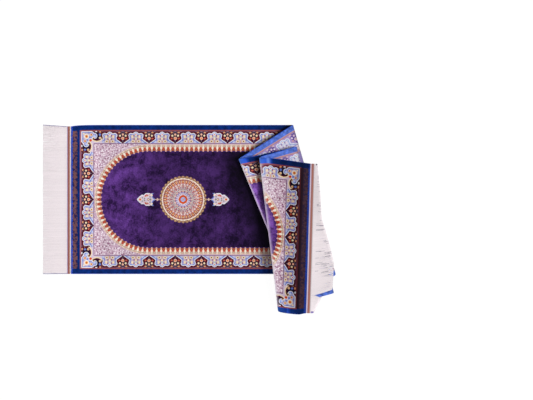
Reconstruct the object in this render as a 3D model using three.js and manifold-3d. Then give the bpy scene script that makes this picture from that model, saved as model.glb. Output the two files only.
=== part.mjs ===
// A machine-made runner rug, 67 by 200 cm. It lies pile side up and flat from its first end, and the
// rest is folded back and forth over itself in four slanted folds, so that five layers lie on each
// other and the second end is on top. Each end has a flat-woven band and a fringe.
//
// Millimetres, +Z up. The rug is first drawn flat: "along" is the distance from the first edge of the
// pile, towards +X, and "across" is the distance from the middle of the width, positive towards the
// far side, +Y. Folding then moves each point of the flat rug to its place. The group is centred in
// X and Y, and the floor is Z = 0.

import * as THREE from 'three';
import { mergeVertices } from 'three/addons/utils/BufferGeometryUtils.js';
import Module from 'manifold-3d';

const wasm = await Module();
wasm.setup();

// ---- Driving dimensions ---------------------------------------------------------------------------

const WIDTH = 670;
const PILE_LENGTH = 1962;
const PILE_THICKNESS = 6;
const BAND_LENGTH = 20;
const BAND_THICKNESS = 2.4;
const FIRST_FRINGE_LENGTH = 109;
const SECOND_FRINGE_LENGTH = 97;
const FRINGE_THICKNESS = 2.4;
const GAP = 0.3;

// A fold line crosses the rug from "far", its distance along the far edge, to "near", its distance
// along the near edge. "low" and "high" are the heights of the sheet's middle where it goes into the
// bend and comes out of it, at the far edge, the middle and the near edge. "slide" is how far the
// cloth above the fold has slid along it, towards the near side.
const FOLDS = [
  { far: 998, near: 1189, low: [3, 3, 3], high: [20, 20, 19.5], slide: 0 },
  { far: 1290, near: 1401, low: [10.4, 10.4, 7], high: [27, 27, 22], slide: 6 },
  { far: 1557, near: 1572, low: [29.5, 28.5, 26.5], high: [46, 45, 42.5], slide: 0 },
  { far: 1734, near: 1835, low: [36.5, 36, 21], high: [55, 54, 38], slide: 18 },
];
const END_HEIGHTS = [53, 52.5, 36];
const SLIDE_REACH = 50;

// The near selvedge swells out past the last fold, and the end draws it in again: how far it swells,
// where that starts, where it turns back, and the lengths that both take.
const SWELL = { most: 7.5, start: 1800, rise: 40, turn: 1926, fall: 36 };

// How the second fringe lies, from the far side to the near side. "turn" is how many degrees its
// yarns are swept towards the far side. "run" is how far out they hang down over the edge below, and
// "level" is their height there. "foot" is how far they then go on along the floor, back under the
// rug, or outwards where it is negative.
const LIE = [
  { across: 335, turn: 0, run: 10, level: 50, foot: 30 },
  { across: 215, turn: 0, run: 25, level: 50, foot: 16 },
  { across: 107, turn: 1, run: 34, level: 50, foot: 0 },
  { across: 80, turn: 2, run: 38, level: 50, foot: 0 },
  { across: 3, turn: 8, run: 63, level: 50, foot: 0 },
  { across: -118, turn: 12, run: 98, level: 50, foot: 0 },
  { across: -160, turn: 13, run: 150, level: 50, foot: 0 },
  { across: -251.8, turn: 20, run: 150, level: 50, foot: 0 },
  { across: -252.2, turn: -18, run: 44, level: 48, foot: -5 },
  { across: -335, turn: -4, run: 12, level: 30, foot: -2 },
];
const SWEEP_START = 14;
const RISE = 40;
const HANG_RADIUS = 8;
const FOOT_RADIUS = 5;

// The fringe is stated as one comb: a spine along the band, and teeth that each stand for a lock of
// yarns.
const TEETH = 40;
const SLIT = 2;
const SPINE = 6;
const OVERLAP = 1;
const ROOT_GAP = 1;

// Rows and columns of the surfaces.
const LAYER_ROWS = 7;
const BEND_ROWS = 8;
const BAND_ROWS = 2;
const TOOTH_ROWS = 10;
const COLUMNS = 10;
const DIFFERENCE = 0.5;

// ---- The folded sheet -----------------------------------------------------------------------------

const QUARTER = Math.PI / 2;
const { lerp, clamp, degToRad } = THREE.MathUtils;

function ease(fraction) {
  const t = clamp(fraction, 0, 1);
  return t * t * (3 - 2 * t);
}

// A height given at the far edge, the middle and the near edge, eased between them.
function acrossWidth([far, middle, near], across) {
  const side = -2 * across / WIDTH;
  const edge = side < 0 ? far : near;
  const share = side < 0 ? side ** 2 : side ** 3;
  return lerp(middle, edge, share);
}

// A fold at one point of the flat rug: its line, how far past the line the point is, and the size of
// the bend there.
function foldAt({ far, near, low, high, slide }, along, across) {
  const start = new THREE.Vector2(far, WIDTH / 2);
  const square = new THREE.Vector2(WIDTH, near - far).normalize();
  const down = new THREE.Vector2(square.y, -square.x);
  const past = new THREE.Vector2(along, across).sub(start).dot(square);
  const lowest = acrossWidth(low, across);
  const highest = acrossWidth(high, across);
  const radius = (highest - lowest) / 2;
  return { start, square, down, past, lowest, highest, radius, half: QUARTER * radius, slide };
}

// How high the middle of the sheet is: round a bend, or easing from one fold's height to the next's.
function sheetHeight(folds, across) {
  const bend = folds.find(({ past, half }) => Math.abs(past) <= half);
  if (bend) return bend.lowest + bend.radius * (1 - Math.cos((bend.past + bend.half) / bend.radius));
  const before = folds.findLast(({ past, half }) => past > half);
  const after = folds.find(({ past, half }) => past < -half);
  if (!before) return after.lowest;
  const gone = before.past - before.half;
  if (after) return lerp(before.highest, after.lowest, ease(gone / (gone - after.past - after.half)));
  const toEnd = foldAt(FOLDS.at(-1), PILE_LENGTH, across).past - before.half;
  return lerp(before.highest, acrossWidth(END_HEIGHTS, across), (gone / toEnd) ** 2);
}

// How far the selvedge swells out at a point of the flat rug. It fades away from the near side.
function swellAt(along, across) {
  const { most, start, rise, turn, fall } = SWELL;
  const nearness = clamp(-2 * across / WIDTH, 0, 1) ** 3;
  return most * nearness * ease((along - start) / rise) * (1 - ease((along - turn) / fall));
}

// The middle of the folded sheet, for a point of the flat rug. Each fold that the point is past turns
// it over the fold line, the last fold first.
function sheetMiddle(along, flatAcross) {
  const across = flatAcross - swellAt(along, flatAcross);
  const folds = FOLDS.map((fold) => foldAt(fold, along, across));
  const height = sheetHeight(folds, across);
  const place = new THREE.Vector2(along, across);
  for (const { start, square, down, past, radius, half, slide } of folds.reverse()) {
    if (past <= -half) continue;
    const here = place.clone().sub(start).dot(square);
    const there = past > half ? -here : radius * Math.sin((past + half) / radius) - half;
    place.addScaledVector(square, there - here);
    place.addScaledVector(down, slide * (1 - Math.exp(-(past + half) / SLIDE_REACH)));
  }
  return new THREE.Vector3(place.x, place.y, height);
}

// A point at a height square to a surface.
function above(surface, along, across, height) {
  const alongWay = surface(along + DIFFERENCE, across).sub(surface(along - DIFFERENCE, across));
  const acrossWay = surface(along, across + DIFFERENCE).sub(surface(along, across - DIFFERENCE));
  return surface(along, across).addScaledVector(alongWay.cross(acrossWay).normalize(), height);
}

// ---- The second fringe ----------------------------------------------------------------------------

// The middle of a thin layer whose underside is level with the underside of the pile.
function levelWithBack(thickness) {
  return (thickness - PILE_THICKNESS) / 2;
}

// The row of LIE at a place across, between the two rows that hold it.
function lieAt(across) {
  const next = clamp(LIE.findIndex((row) => row.across <= across), 1, LIE.length - 1);
  const [one, other] = [LIE[next - 1], LIE[next]];
  const share = (one.across - across) / (one.across - other.across);
  const value = (name) => lerp(one[name], other[name], share);
  return { turn: value('turn'), run: value('run'), level: value('level'), foot: value('foot') };
}

// The legs of a lock of yarns, each with its length, its heading where it starts and how far it
// turns: up or down to its level, out to the edge below, over the edge, down, and along the floor.
function legsAt(start, across) {
  const { run, level, foot } = lieAt(across);
  const out = run - HANG_RADIUS;
  const rise = Math.min(out, RISE);
  const drop = level - HANG_RADIUS - FOOT_RADIUS - FRINGE_THICKNESS;
  const down = -QUARTER;
  return [
    { length: Math.hypot(rise, level - start.z), heading: Math.atan2(level - start.z, rise), turn: 0 },
    { length: out - rise, heading: 0, turn: 0 },
    { length: QUARTER * HANG_RADIUS, heading: 0, turn: down },
    { length: drop, heading: down, turn: 0 },
    { length: foot ? QUARTER * FOOT_RADIUS : 0, heading: down, turn: foot < 0 ? -down : down },
    { length: Math.abs(foot), heading: foot < 0 ? 0 : 2 * down, turn: 0 },
  ];
}

function bandEnd(across) {
  return above(sheetMiddle, PILE_LENGTH + BAND_LENGTH, across, levelWithBack(FRINGE_THICKNESS));
}

// How long the teeth of the second comb are at a place across: as long as its fringe, or their legs.
function toothLength(across) {
  const whole = legsAt(bandEnd(across), across).reduce((sum, leg) => sum + leg.length, 0);
  return Math.min(SECOND_FRINGE_LENGTH, whole);
}

// The middle of the second fringe, at a distance along its yarns.
function fringeMiddle(distance, across) {
  const start = bandEnd(across);
  let left = distance;
  let out = 0;
  let height = start.z;
  for (const { length, heading, turn } of legsAt(start, across)) {
    const gone = Math.min(left, length);
    const halfTurned = length ? turn * gone / length / 2 : 0;
    const chord = halfTurned ? gone * Math.sin(halfTurned) / halfTurned : gone;
    out += chord * Math.cos(heading + halfTurned);
    height += chord * Math.sin(heading + halfTurned);
    left -= gone;
  }
  const turn = degToRad(lieAt(across).turn);
  const outWay = start.clone().sub(sheetMiddle(PILE_LENGTH, across)).setZ(0).normalize();
  const farWay = new THREE.Vector3(-outWay.y, outWay.x, 0);
  const swept = Math.max(0, out - SWEEP_START);
  const place = start.clone().setZ(height);
  place.addScaledVector(outWay, out - swept + swept * Math.cos(turn));
  return place.addScaledVector(farWay, swept * Math.sin(turn));
}

// ---- Making the solids ----------------------------------------------------------------------------

// A box laid on a surface. "rows" gives how far along each row is at a place across, and "columns"
// are the places across.
function laidBox(surface, rows, columns, bottom, top) {
  const box = new THREE.BoxGeometry(1, 1, 1, rows.length - 1, columns.length - 1, 1);
  const corners = box.getAttribute('position');
  for (let corner = 0; corner < corners.count; corner += 1) {
    const row = Math.round((corners.getX(corner) + 0.5) * (rows.length - 1));
    const column = Math.round((corners.getY(corner) + 0.5) * (columns.length - 1));
    const across = columns[column];
    const height = corners.getZ(corner) < 0 ? bottom : top;
    const place = above(surface, rows[row](across), across, height);
    corners.setXYZ(corner, place.x, place.y, place.z);
  }
  box.computeVertexNormals();
  return box;
}

// Numbers evenly spaced from one to another, both ends included.
function evenly(from, to, steps) {
  return Array.from({ length: steps + 1 }, (_, step) => lerp(from, to, step / steps));
}

// Rows at the same distances along for every place across.
function straightRows(from, to, steps) {
  return evenly(from, to, steps).map((along) => () => along);
}

// Rows that follow the slanted folds: where each layer and each bend ends, and evenly between.
function foldedRows() {
  const edges = (across) => FOLDS.flatMap((fold) => {
    const { square, past, half } = foldAt(fold, 0, across);
    return [(-past - half) / square.x, (-past + half) / square.x];
  });
  const limits = (across) => [0, ...edges(across), PILE_LENGTH];
  const rows = [() => 0];
  for (let part = 0; part <= 2 * FOLDS.length; part += 1) {
    const steps = part % 2 ? BEND_ROWS : LAYER_ROWS;
    for (let step = 1; step <= steps; step += 1) {
      rows.push((across) => lerp(limits(across)[part], limits(across)[part + 1], step / steps));
    }
  }
  return rows;
}

function toManifold(geometry) {
  const bare = geometry.clone();
  bare.deleteAttribute('normal');
  bare.deleteAttribute('uv');
  const { index, attributes } = mergeVertices(bare);
  const triVerts = Uint32Array.from(index.array);
  return new wasm.Manifold(new wasm.Mesh({
    numProp: 3,
    vertProperties: attributes.position.array,
    triVerts,
  }));
}

function toGeometry(manifold) {
  const { vertProperties, triVerts } = manifold.getMesh();
  const geometry = new THREE.BufferGeometry();
  geometry.setAttribute('position', new THREE.BufferAttribute(vertProperties, 3));
  geometry.setIndex(new THREE.BufferAttribute(triVerts, 1));
  geometry.computeVertexNormals();
  return geometry;
}

// The places across where the comb's teeth start and end.
function toothEdges() {
  const pitch = (WIDTH + SLIT) / TEETH;
  return evenly(WIDTH / 2, WIDTH / 2 - pitch * (TEETH - 1), TEETH - 1).map((far) => [far + SLIT - pitch, far]);
}

// A comb on a surface: the spine's rows run the whole width, and the teeth start at it or inside it.
function comb(surface, spineRows, toothRows) {
  const half = FRINGE_THICKNESS / 2;
  const columns = toothEdges().flat().sort((a, b) => a - b);
  const teeth = toothEdges().map((edges) => laidBox(surface, toothRows, edges, -half, half));
  const pieces = [laidBox(surface, spineRows, columns, -half, half), ...teeth];
  return toGeometry(pieces.map(toManifold).reduce((whole, piece) => whole.add(piece)));
}

// ---- The pieces -----------------------------------------------------------------------------------

const PILE_FINISH = { color: 0x3b2358, roughness: 0.75, metalness: 0 };
const BAND_FINISH = { color: 0xa4746b, roughness: 0.9, metalness: 0 };
const FRINGE_FINISH = { color: 0xeee6e8, roughness: 0.9, metalness: 0 };

function piece(name, geometry, finish) {
  const mesh = new THREE.Mesh(geometry, new THREE.MeshStandardMaterial(finish));
  mesh.name = name;
  return mesh;
}

// The flat end lies on the floor, where the thin band and fringe are level with the back of the pile.
function flatBack(thickness) {
  return (along, across) => sheetMiddle(along, across).setZ(thickness / 2);
}

function pile() {
  const half = PILE_THICKNESS / 2;
  const columns = evenly(-WIDTH / 2, WIDTH / 2, COLUMNS);
  return laidBox(sheetMiddle, foldedRows(), columns, -half, half);
}

function firstBand() {
  const half = BAND_THICKNESS / 2;
  const rows = straightRows(-BAND_LENGTH, -GAP, 1);
  return laidBox(flatBack(BAND_THICKNESS), rows, [-WIDTH / 2, WIDTH / 2], -half, half);
}

function firstFringe() {
  const root = -BAND_LENGTH - GAP;
  const spine = straightRows(root - SPINE, root, 1);
  const teeth = straightRows(root - FIRST_FRINGE_LENGTH, root - SPINE, 1);
  return comb(flatBack(FRINGE_THICKNESS), spine, teeth);
}

function secondBand() {
  const middle = levelWithBack(BAND_THICKNESS);
  const half = BAND_THICKNESS / 2;
  const rows = straightRows(PILE_LENGTH + GAP, PILE_LENGTH + BAND_LENGTH, BAND_ROWS);
  const columns = evenly(-WIDTH / 2, WIDTH / 2, COLUMNS);
  return laidBox(sheetMiddle, rows, columns, middle - half, middle + half);
}

function secondFringe() {
  const spine = [ROOT_GAP, SPINE - OVERLAP, SPINE].map((distance) => () => distance);
  const teeth = evenly(0, 1, TOOTH_ROWS).map((share) => (
    (across) => lerp(SPINE, toothLength(across), share)
  ));
  return comb(fringeMiddle, spine, [spine.at(-2), ...teeth]);
}

const rug = new THREE.Group();
rug.add(
  piece('rug_pile', pile(), PILE_FINISH),
  piece('end_band_left', firstBand(), BAND_FINISH),
  piece('end_band_right', secondBand(), BAND_FINISH),
  piece('fringe_left', firstFringe(), FRINGE_FINISH),
  piece('fringe_right', secondFringe(), FRINGE_FINISH),
);

const centre = new THREE.Box3().setFromObject(rug).getCenter(new THREE.Vector3());
rug.position.set(-centre.x, -centre.y, 0);

export default rug;
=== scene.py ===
# %% [markdown]
# # A folded runner rug
# A machine-made runner, 67 by 200 cm, lies pile side up for half its length. The rest is folded back
# and forth over it, so that five layers lie on each other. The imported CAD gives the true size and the
# room that each piece fills. Here each piece gets its real surface: pile, flat weave and yarn.

# %% Load the frame
import math

import bmesh
import bpy
import numpy as np
from mathutils import Matrix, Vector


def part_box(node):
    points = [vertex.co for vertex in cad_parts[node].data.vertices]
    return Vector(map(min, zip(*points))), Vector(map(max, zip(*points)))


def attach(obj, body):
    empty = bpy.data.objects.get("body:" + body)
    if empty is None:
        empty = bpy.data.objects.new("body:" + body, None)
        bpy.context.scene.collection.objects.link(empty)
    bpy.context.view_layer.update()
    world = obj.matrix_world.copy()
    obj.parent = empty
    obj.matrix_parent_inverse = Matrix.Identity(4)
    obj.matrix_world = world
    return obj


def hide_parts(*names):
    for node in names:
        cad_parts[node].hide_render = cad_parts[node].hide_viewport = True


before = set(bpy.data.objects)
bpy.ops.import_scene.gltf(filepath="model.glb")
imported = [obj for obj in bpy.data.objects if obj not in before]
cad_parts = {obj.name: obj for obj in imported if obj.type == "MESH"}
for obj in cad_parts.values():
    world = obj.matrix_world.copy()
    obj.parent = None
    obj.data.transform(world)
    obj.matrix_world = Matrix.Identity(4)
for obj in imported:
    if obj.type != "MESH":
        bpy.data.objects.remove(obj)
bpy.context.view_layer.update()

# %% [markdown]
# ## The camera and the light
# The rug is seen from straight above. A perspective camera 2.5 m up shows the top layers a little
# larger than the floor, as the eye does, which an orthographic one would lose. The lens is set so that
# the view is 2.4 m wide on the floor.

# %% Camera
VIEW_HEIGHT = 2.5
VIEW_WIDTH = 2.3985
VIEW_MIDDLE = (0.348, 0.0852)
SENSOR = 36
camera_data = bpy.data.cameras.new("overhead")
camera_data.sensor_width = SENSOR
camera_data.lens = SENSOR * VIEW_HEIGHT / VIEW_WIDTH
camera = bpy.data.objects.new("overhead", camera_data)
camera.location = (*VIEW_MIDDLE, VIEW_HEIGHT)
bpy.context.scene.collection.objects.link(camera)
bpy.context.scene.camera = camera
print("lens, in mm:", round(camera_data.lens, 1))

# %% [markdown]
# One big soft lamp at a low angle brings out the layers. A weaker and wider one, low on the other side,
# keeps their shadows open, and a dim sky fills in from all round. A sun lamp with a wide angle is a soft
# lamp of the same strength everywhere, so the far end isn't darker than the near one. What the camera
# sees of the sky is plain white, whatever light the sky gives, and so is what metal or glass mirrors.

# %% Lamps
# strength, and in degrees: how wide the light is, its tilt from straight down and its turn
LAMPS = {"soft_lamp": (2.69, 16, 48, -8), "fill_lamp": (1.5, 40, -78, 0)}
for name, (strength, wide, tilt, turn) in LAMPS.items():
    lamp_data = bpy.data.lights.new(name, "SUN")
    lamp_data.energy = strength
    lamp_data.angle = math.radians(wide)
    lamp = bpy.data.objects.new(name, lamp_data)
    lamp.rotation_euler = (0, math.radians(tilt), math.radians(turn))
    bpy.context.scene.collection.objects.link(lamp)
print("lamps:", list(LAMPS))

# %% Sky
SKY_STRENGTH = 0.33


def seen_by_eye(tree):
    """1 for what the camera sees, directly, mirrored or through glass, and 0 elsewhere."""
    path = tree.nodes.new("ShaderNodeLightPath")
    seen = path.outputs["Is Camera Ray"]
    for ray in ("Is Glossy Ray", "Is Transmission Ray"):
        either = tree.nodes.new("ShaderNodeMath")
        either.operation = "MAXIMUM"
        tree.links.new(seen, either.inputs[0])
        tree.links.new(path.outputs[ray], either.inputs[1])
        seen = either.outputs[0]
    return seen


world = bpy.data.worlds.new("studio")
bpy.context.scene.world = world
world.use_nodes = True
sky_nodes, sky_links = world.node_tree.nodes, world.node_tree.links
sky = sky_nodes["Background"]
sky.inputs["Color"].default_value = (1, 1, 1, 1)
sky_strength = sky_nodes.new("ShaderNodeMapRange")
sky_strength.inputs["To Min"].default_value = SKY_STRENGTH
sky_links.new(seen_by_eye(world.node_tree), sky_strength.inputs["Value"])
sky_links.new(sky_strength.outputs[0], sky.inputs["Strength"])
bpy.context.scene.view_settings.view_transform = "Standard"
print("sky strength:", SKY_STRENGTH)

# %% [markdown]
# The floor is a pale plane. To the camera it is nearly white by itself, and a share of plain white paint
# keeps the rug's soft shadow on it.

# %% Floor
FLOOR_SIZE = 12
FLOOR_GREY = 0.8
GLOW_SHARE = 0.90
GLOW_STRENGTH = 1.06
floor_mesh = bpy.data.meshes.new("floor")
making = bmesh.new()
bmesh.ops.create_grid(making, x_segments=1, y_segments=1, size=FLOOR_SIZE / 2)
making.to_mesh(floor_mesh)
making.free()
floor = bpy.data.objects.new("floor", floor_mesh)
bpy.context.scene.collection.objects.link(floor)

paint = bpy.data.materials.new("floor_paint")
paint.use_nodes = True
nodes, links = paint.node_tree.nodes, paint.node_tree.links
matt = nodes["Principled BSDF"]
matt.inputs["Roughness"].default_value = 0.9
matt.inputs["Base Color"].default_value = (FLOOR_GREY, FLOOR_GREY, FLOOR_GREY, 1)
own_light = nodes.new("ShaderNodeEmission")
own_light.inputs["Strength"].default_value = GLOW_STRENGTH
glow_share = nodes.new("ShaderNodeMath")
glow_share.operation = "MULTIPLY"
glow_share.inputs[1].default_value = GLOW_SHARE
mixed = nodes.new("ShaderNodeMixShader")
links.new(seen_by_eye(paint.node_tree), glow_share.inputs[0])
links.new(glow_share.outputs[0], mixed.inputs["Fac"])
links.new(matt.outputs[0], mixed.inputs[1])
links.new(own_light.outputs[0], mixed.inputs[2])
links.new(mixed.outputs[0], nodes["Material Output"].inputs["Surface"])
floor_mesh.materials.append(paint)
print("floor:", FLOOR_SIZE, "m wide, with a share of white of", GLOW_SHARE)

# %% [markdown]
# ## How the rug is folded
# Cloth bends but hardly stretches, so the whole shape follows from the flat rug and its folds. Each
# point is named by its place on the flat rug: how far along from the first edge of the pile, and how
# far across from the middle. A fold turns everything past its line over, round a half circle. The
# last fold is applied first, because the earlier ones then carry it. These are the same measures as
# the CAD's, so the cloth lands in its room. A cloth simulation would give much the same shape, but not
# the exact slants and overlaps.

# %% Measures of the folded rug
WIDTH = 0.670
PILE_LENGTH = 1.962
PILE_THICKNESS = 0.006
BAND_LENGTH = 0.020
BAND_THICKNESS = 0.0024
FIRST_FRINGE_LENGTH = 0.109
SECOND_FRINGE_LENGTH = 0.097
FRINGE_THICKNESS = 0.0024
GAP = 0.0003
# A fold line runs from "far", on the far edge, to "near", on the near edge. low and high are the
# heights of the cloth's middle going in and coming out, at the far edge, the middle and the near edge.
# slide is how far the cloth past the fold is shifted along the fold's line.
FOLDS = [
    {"far": 0.998, "near": 1.189, "slide": 0,
     "low": (0.003, 0.003, 0.003), "high": (0.020, 0.020, 0.0195)},
    {"far": 1.290, "near": 1.401, "slide": 0.006,
     "low": (0.0104, 0.0104, 0.007), "high": (0.027, 0.027, 0.022)},
    {"far": 1.557, "near": 1.572, "slide": 0,
     "low": (0.0295, 0.0285, 0.0265), "high": (0.046, 0.045, 0.0425)},
    {"far": 1.734, "near": 1.835, "slide": 0.018,
     "low": (0.0365, 0.036, 0.021), "high": (0.055, 0.054, 0.038)},
]
END_HEIGHTS = (0.053, 0.0525, 0.036)
SLIDE_REACH = 0.050
# How far the far corners of the first and the second end are pulled in, and how far along that reaches
PULLED_IN = 0.006
PULL_REACHES = (0.030, 0.060)
# How far each selvedge of the top layer swells out. That starts at a place along the rug and rises over
# a distance, then turns back at a place and falls over a distance.
NEAR_SWELL = {"out": 0.0075, "start": 1.80, "rise": 0.04, "turn": 1.926, "fall": 0.036}
FAR_SWELL = {"out": 0.009, "start": 1.742, "rise": 0.035, "turn": 1.795, "fall": 0.165}
pile_low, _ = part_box("rug_pile")
_, band_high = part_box("end_band_left")
PLACE = np.array([pile_low.x, band_high.y - WIDTH / 2, 0])
print("the flat rug's first edge and middle are at", PLACE.round(4))


# %% Heights and folds at a point
def across_width(heights, across):
    """A height given at the far edge, the middle and the near edge, eased between them."""
    far, middle, near = heights
    side = -2 * across / WIDTH
    return np.where(side < 0, middle + (far - middle) * side**2, middle + (near - middle) * side**3)


def ease(share):
    """From 0 to 1 with a gentle start and end."""
    share = np.clip(share, 0, 1)
    return share * share * (3 - 2 * share)


def fold_at(fold, along, across):
    """A fold's line, how far past it each point is, and the size of the bend there."""
    start = np.array([fold["far"], WIDTH / 2])
    square = np.array([WIDTH, fold["near"] - fold["far"]])
    square = square / np.linalg.norm(square)
    past = (along - start[0]) * square[0] + (across - start[1]) * square[1]
    lowest, highest = across_width(fold["low"], across), across_width(fold["high"], across)
    radius = (highest - lowest) / 2
    return {"start": start, "square": square, "down": np.array([square[1], -square[0]]), "past": past,
            "lowest": lowest, "highest": highest, "radius": radius, "half": radius * math.pi / 2,
            "slide": fold["slide"]}


def sheet_height(folds, across):
    """The height of the cloth's middle: flat, round a bend, or easing from one bend to the next."""
    height = np.array(folds[0]["lowest"])
    for number, fold in enumerate(folds):
        gone = fold["past"] - fold["half"]
        if fold is folds[-1]:
            last = fold_at(FOLDS[-1], PILE_LENGTH, across)
            end = across_width(END_HEIGHTS, across)
            share = np.clip(gone, 0, None) / (last["past"] - last["half"])
            level = fold["highest"] + (end - fold["highest"]) * share**2
        else:
            after = folds[number + 1]
            left = -after["past"] - after["half"]
            share = ease(gone / np.maximum(gone + left, 1e-9))
            level = fold["highest"] + (after["lowest"] - fold["highest"]) * share
        turned = np.clip((fold["past"] + fold["half"]) / fold["radius"], 0, math.pi)
        bend = fold["lowest"] + fold["radius"] * (1 - np.cos(turned))
        height = np.where(gone > 0, level, np.where(fold["past"] > -fold["half"], bend, height))
    return height


def swelling(swell, along):
    """How far a selvedge swells out, at each place along the rug."""
    risen = ease((along - swell["start"]) / swell["rise"])
    return swell["out"] * risen * (1 - ease((along - swell["turn"]) / swell["fall"]))


def sheet_middle(along, across):
    """Where points of the flat rug's middle go when it is folded."""
    pulled = np.zeros_like(along)
    for from_end, reach in zip((along, PILE_LENGTH - along), PULL_REACHES):
        pulled = pulled + PULLED_IN * np.exp(-np.clip(from_end, 0, None) / reach)
    side = 2 * across / WIDTH
    across = across - (pulled - swelling(FAR_SWELL, along)) * np.clip(side, 0, None) ** 3
    across = across - swelling(NEAR_SWELL, along) * np.clip(-side, 0, 1) ** 3
    folds = [fold_at(fold, along, across) for fold in FOLDS]
    place = np.stack([along, across], axis=-1)
    for fold in reversed(folds):
        start, square, past, half = fold["start"], fold["square"], fold["past"], fold["half"]
        here = (place - start) @ square
        turned = np.clip((past + half) / fold["radius"], 0, math.pi)
        bend = fold["radius"] * np.sin(turned) - half
        there = np.where(past > half, -here, np.where(past > -half, bend, here))
        slid = fold["slide"] * (1 - np.exp(-np.clip(past + half, 0, None) / SLIDE_REACH))
        place = place + (there - here)[:, None] * square + slid[:, None] * fold["down"]
    return np.column_stack([place, sheet_height(folds, across)])


def laid_on(surface, along, across, height, step=0.0005):
    """Points at a height square to a surface, moved to where the rug lies."""
    along_way = surface(along + step, across) - surface(along - step, across)
    across_way = surface(along, across + step) - surface(along, across - step)
    square = np.cross(along_way, across_way)
    square /= np.linalg.norm(square, axis=1, keepdims=True)
    return surface(along, across) + square * height[:, None] + PLACE


sides = np.array([WIDTH / 2, 0, -WIDTH / 2])
end_heights = 1000 * sheet_middle(np.full(3, PILE_LENGTH), sides)[:, 2]
print("the second end's height, in mm:", end_heights.round(1))

# %% [markdown]
# ## The cloth
# A rug's cloth is one slab, 6 mm thick with its pile, and rounded along its edges. It starts as a flat
# grid with rows that follow the slanted folds, close together where it bends and further apart between.
# The grid is extruded to its thickness and its rim is bevelled. Only then is it folded. The flat place
# of each corner is kept in a UV map, so the pattern is woven on the flat rug and bends with it.

# %% Rows that follow the folds
COLUMNS = 72
# How many rows each layer and each bend between them gets
LAYER_STEPS = (72, 18, 20, 16, 18)
BEND_STEPS = 18
ROWS = sum(LAYER_STEPS) + BEND_STEPS * len(FOLDS)
PILE_ROUNDING = 0.0022
TOUCHING = 1e-6


def row_place(share, across):
    """How far along the rug a row lies, for its share of all rows, at each place across."""
    # steps counts the rows up to each limit, and a limit is where a layer or a bend ends
    steps, limits = [0], [np.zeros_like(across)]
    for number, fold in enumerate(FOLDS):
        found = fold_at(fold, np.zeros_like(across), across)
        for side, count in ((-1, LAYER_STEPS[number]), (1, BEND_STEPS)):
            steps.append(steps[-1] + count)
            limits.append((-found["past"] + side * found["half"]) / found["square"][0])
    steps.append(ROWS)
    limits.append(np.full_like(across, PILE_LENGTH))
    row = np.clip(share * ROWS, 0, ROWS)
    part = np.clip(np.searchsorted(steps, row, side="right") - 1, 0, len(steps) - 2)
    limits, steps, column = np.array(limits), np.array(steps), np.arange(len(across))
    inside = (row - steps[part]) / (steps[part + 1] - steps[part])
    return limits[part, column] + (limits[part + 1, column] - limits[part, column]) * inside


def points_of(bm):
    return np.array([vertex.co[:] for vertex in bm.verts])


def put_points(bm, points):
    for vertex, point in zip(bm.verts, points):
        vertex.co = point


def across_place(share):
    """How far across the rug a column lies, for its share of all columns."""
    return (share - 0.5) * WIDTH


def flat_slab(rows, columns, along, thickness, rounding):
    """A flat slab with rounded rims. along gives how far along a row lies, for its share and place across."""
    bm = bmesh.new()
    bmesh.ops.create_grid(bm, x_segments=rows, y_segments=columns, size=0.5)
    shares = points_of(bm) + 0.5
    across = across_place(shares[:, 1])
    upper = np.full(len(across), thickness / 2)
    put_points(bm, np.column_stack([along(shares[:, 0], across), across, upper]))
    made = bmesh.ops.extrude_face_region(bm, geom=bm.faces[:])
    lower = [part for part in made["geom"] if isinstance(part, bmesh.types.BMVert)]
    bmesh.ops.translate(bm, verts=lower, vec=(0, 0, -thickness))
    bmesh.ops.recalc_face_normals(bm, faces=bm.faces)
    rim = [edge for edge in bm.edges if edge.calc_face_angle(0) > 1
           and abs(edge.verts[0].co.z - edge.verts[1].co.z) < TOUCHING]
    bmesh.ops.bevel(bm, geom=rim, offset=rounding, offset_type="OFFSET", segments=3, profile=0.5,
                    affect="EDGES", material=-1)
    return bm


slab = flat_slab(ROWS, COLUMNS, row_place, PILE_THICKNESS, PILE_ROUNDING)
print("rows", ROWS, "columns", COLUMNS, "faces", len(slab.faces))

# %% [markdown]
# Pile opens over a fold and shows its brighter sides, and a painted highlight there makes it brighter
# still, so each point keeps how near it is to a bend. The back gets painted shade in the bends between,
# where it lies outside. Both are named attributes of the mesh, and they follow from the folds' lines.

# %% Near a bend
# How far the painted highlight reaches from each bend with its pile outside, and the share of it kept right
# at the bend; and how far from a back-out bend's middle, in halves of the bend, its painted shade stays full
OPEN_REACHES = (0.030, 0.042)
EDGE_SHARE = 0.45
CREASE_EDGE = 0.2


def crease(along, across):
    """1 in a bend that has its back outside, where the back gets painted shade, and 0 elsewhere."""
    share = np.zeros_like(along)
    for fold in FOLDS[::2]:
        found = fold_at(fold, along, across)
        away = np.abs(found["past"]) / found["half"]
        share = np.maximum(share, 1 - ease(away - CREASE_EDGE))
    return share


def nearness_to_bend(along, across):
    """1 in a bend that has its pile outside, fading to 0 away from it."""
    near = np.zeros_like(along)
    for fold, reach in zip(FOLDS[1::2], OPEN_REACHES):
        found = fold_at(fold, along, across)
        away = np.abs(found["past"])
        wide = np.exp(-(away / reach) ** 2)
        edge = 1 - ease(away / found["half"])
        near = np.maximum(near, (1 - EDGE_SHARE) * wide + EDGE_SHARE * edge)
    return near


print("pile opens over", len(FOLDS[1::2]), "folds, and the back creases in", len(FOLDS[::2]))

# %% [markdown]
# Pile also looks lighter or darker for the way it lies, as it does along the flat layer. Over that, light
# and shade are painted in: painted shadow beside a layer on top of it, painted shade on the top layer, and
# a painted highlight past the folds that open it. Two more attributes keep that, one for the plain field,
# where it shows most, and one for the whole pile.

# %% The way the pile lies
# How light the field is on the flat layer, by the distance along it
FIELD_PLACES = (0.10, 0.24, 0.38, 0.62, 0.74)
FIELD_LIGHT = (1.18, 1.24, 0.70, 0.60, 0.52)
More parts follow.
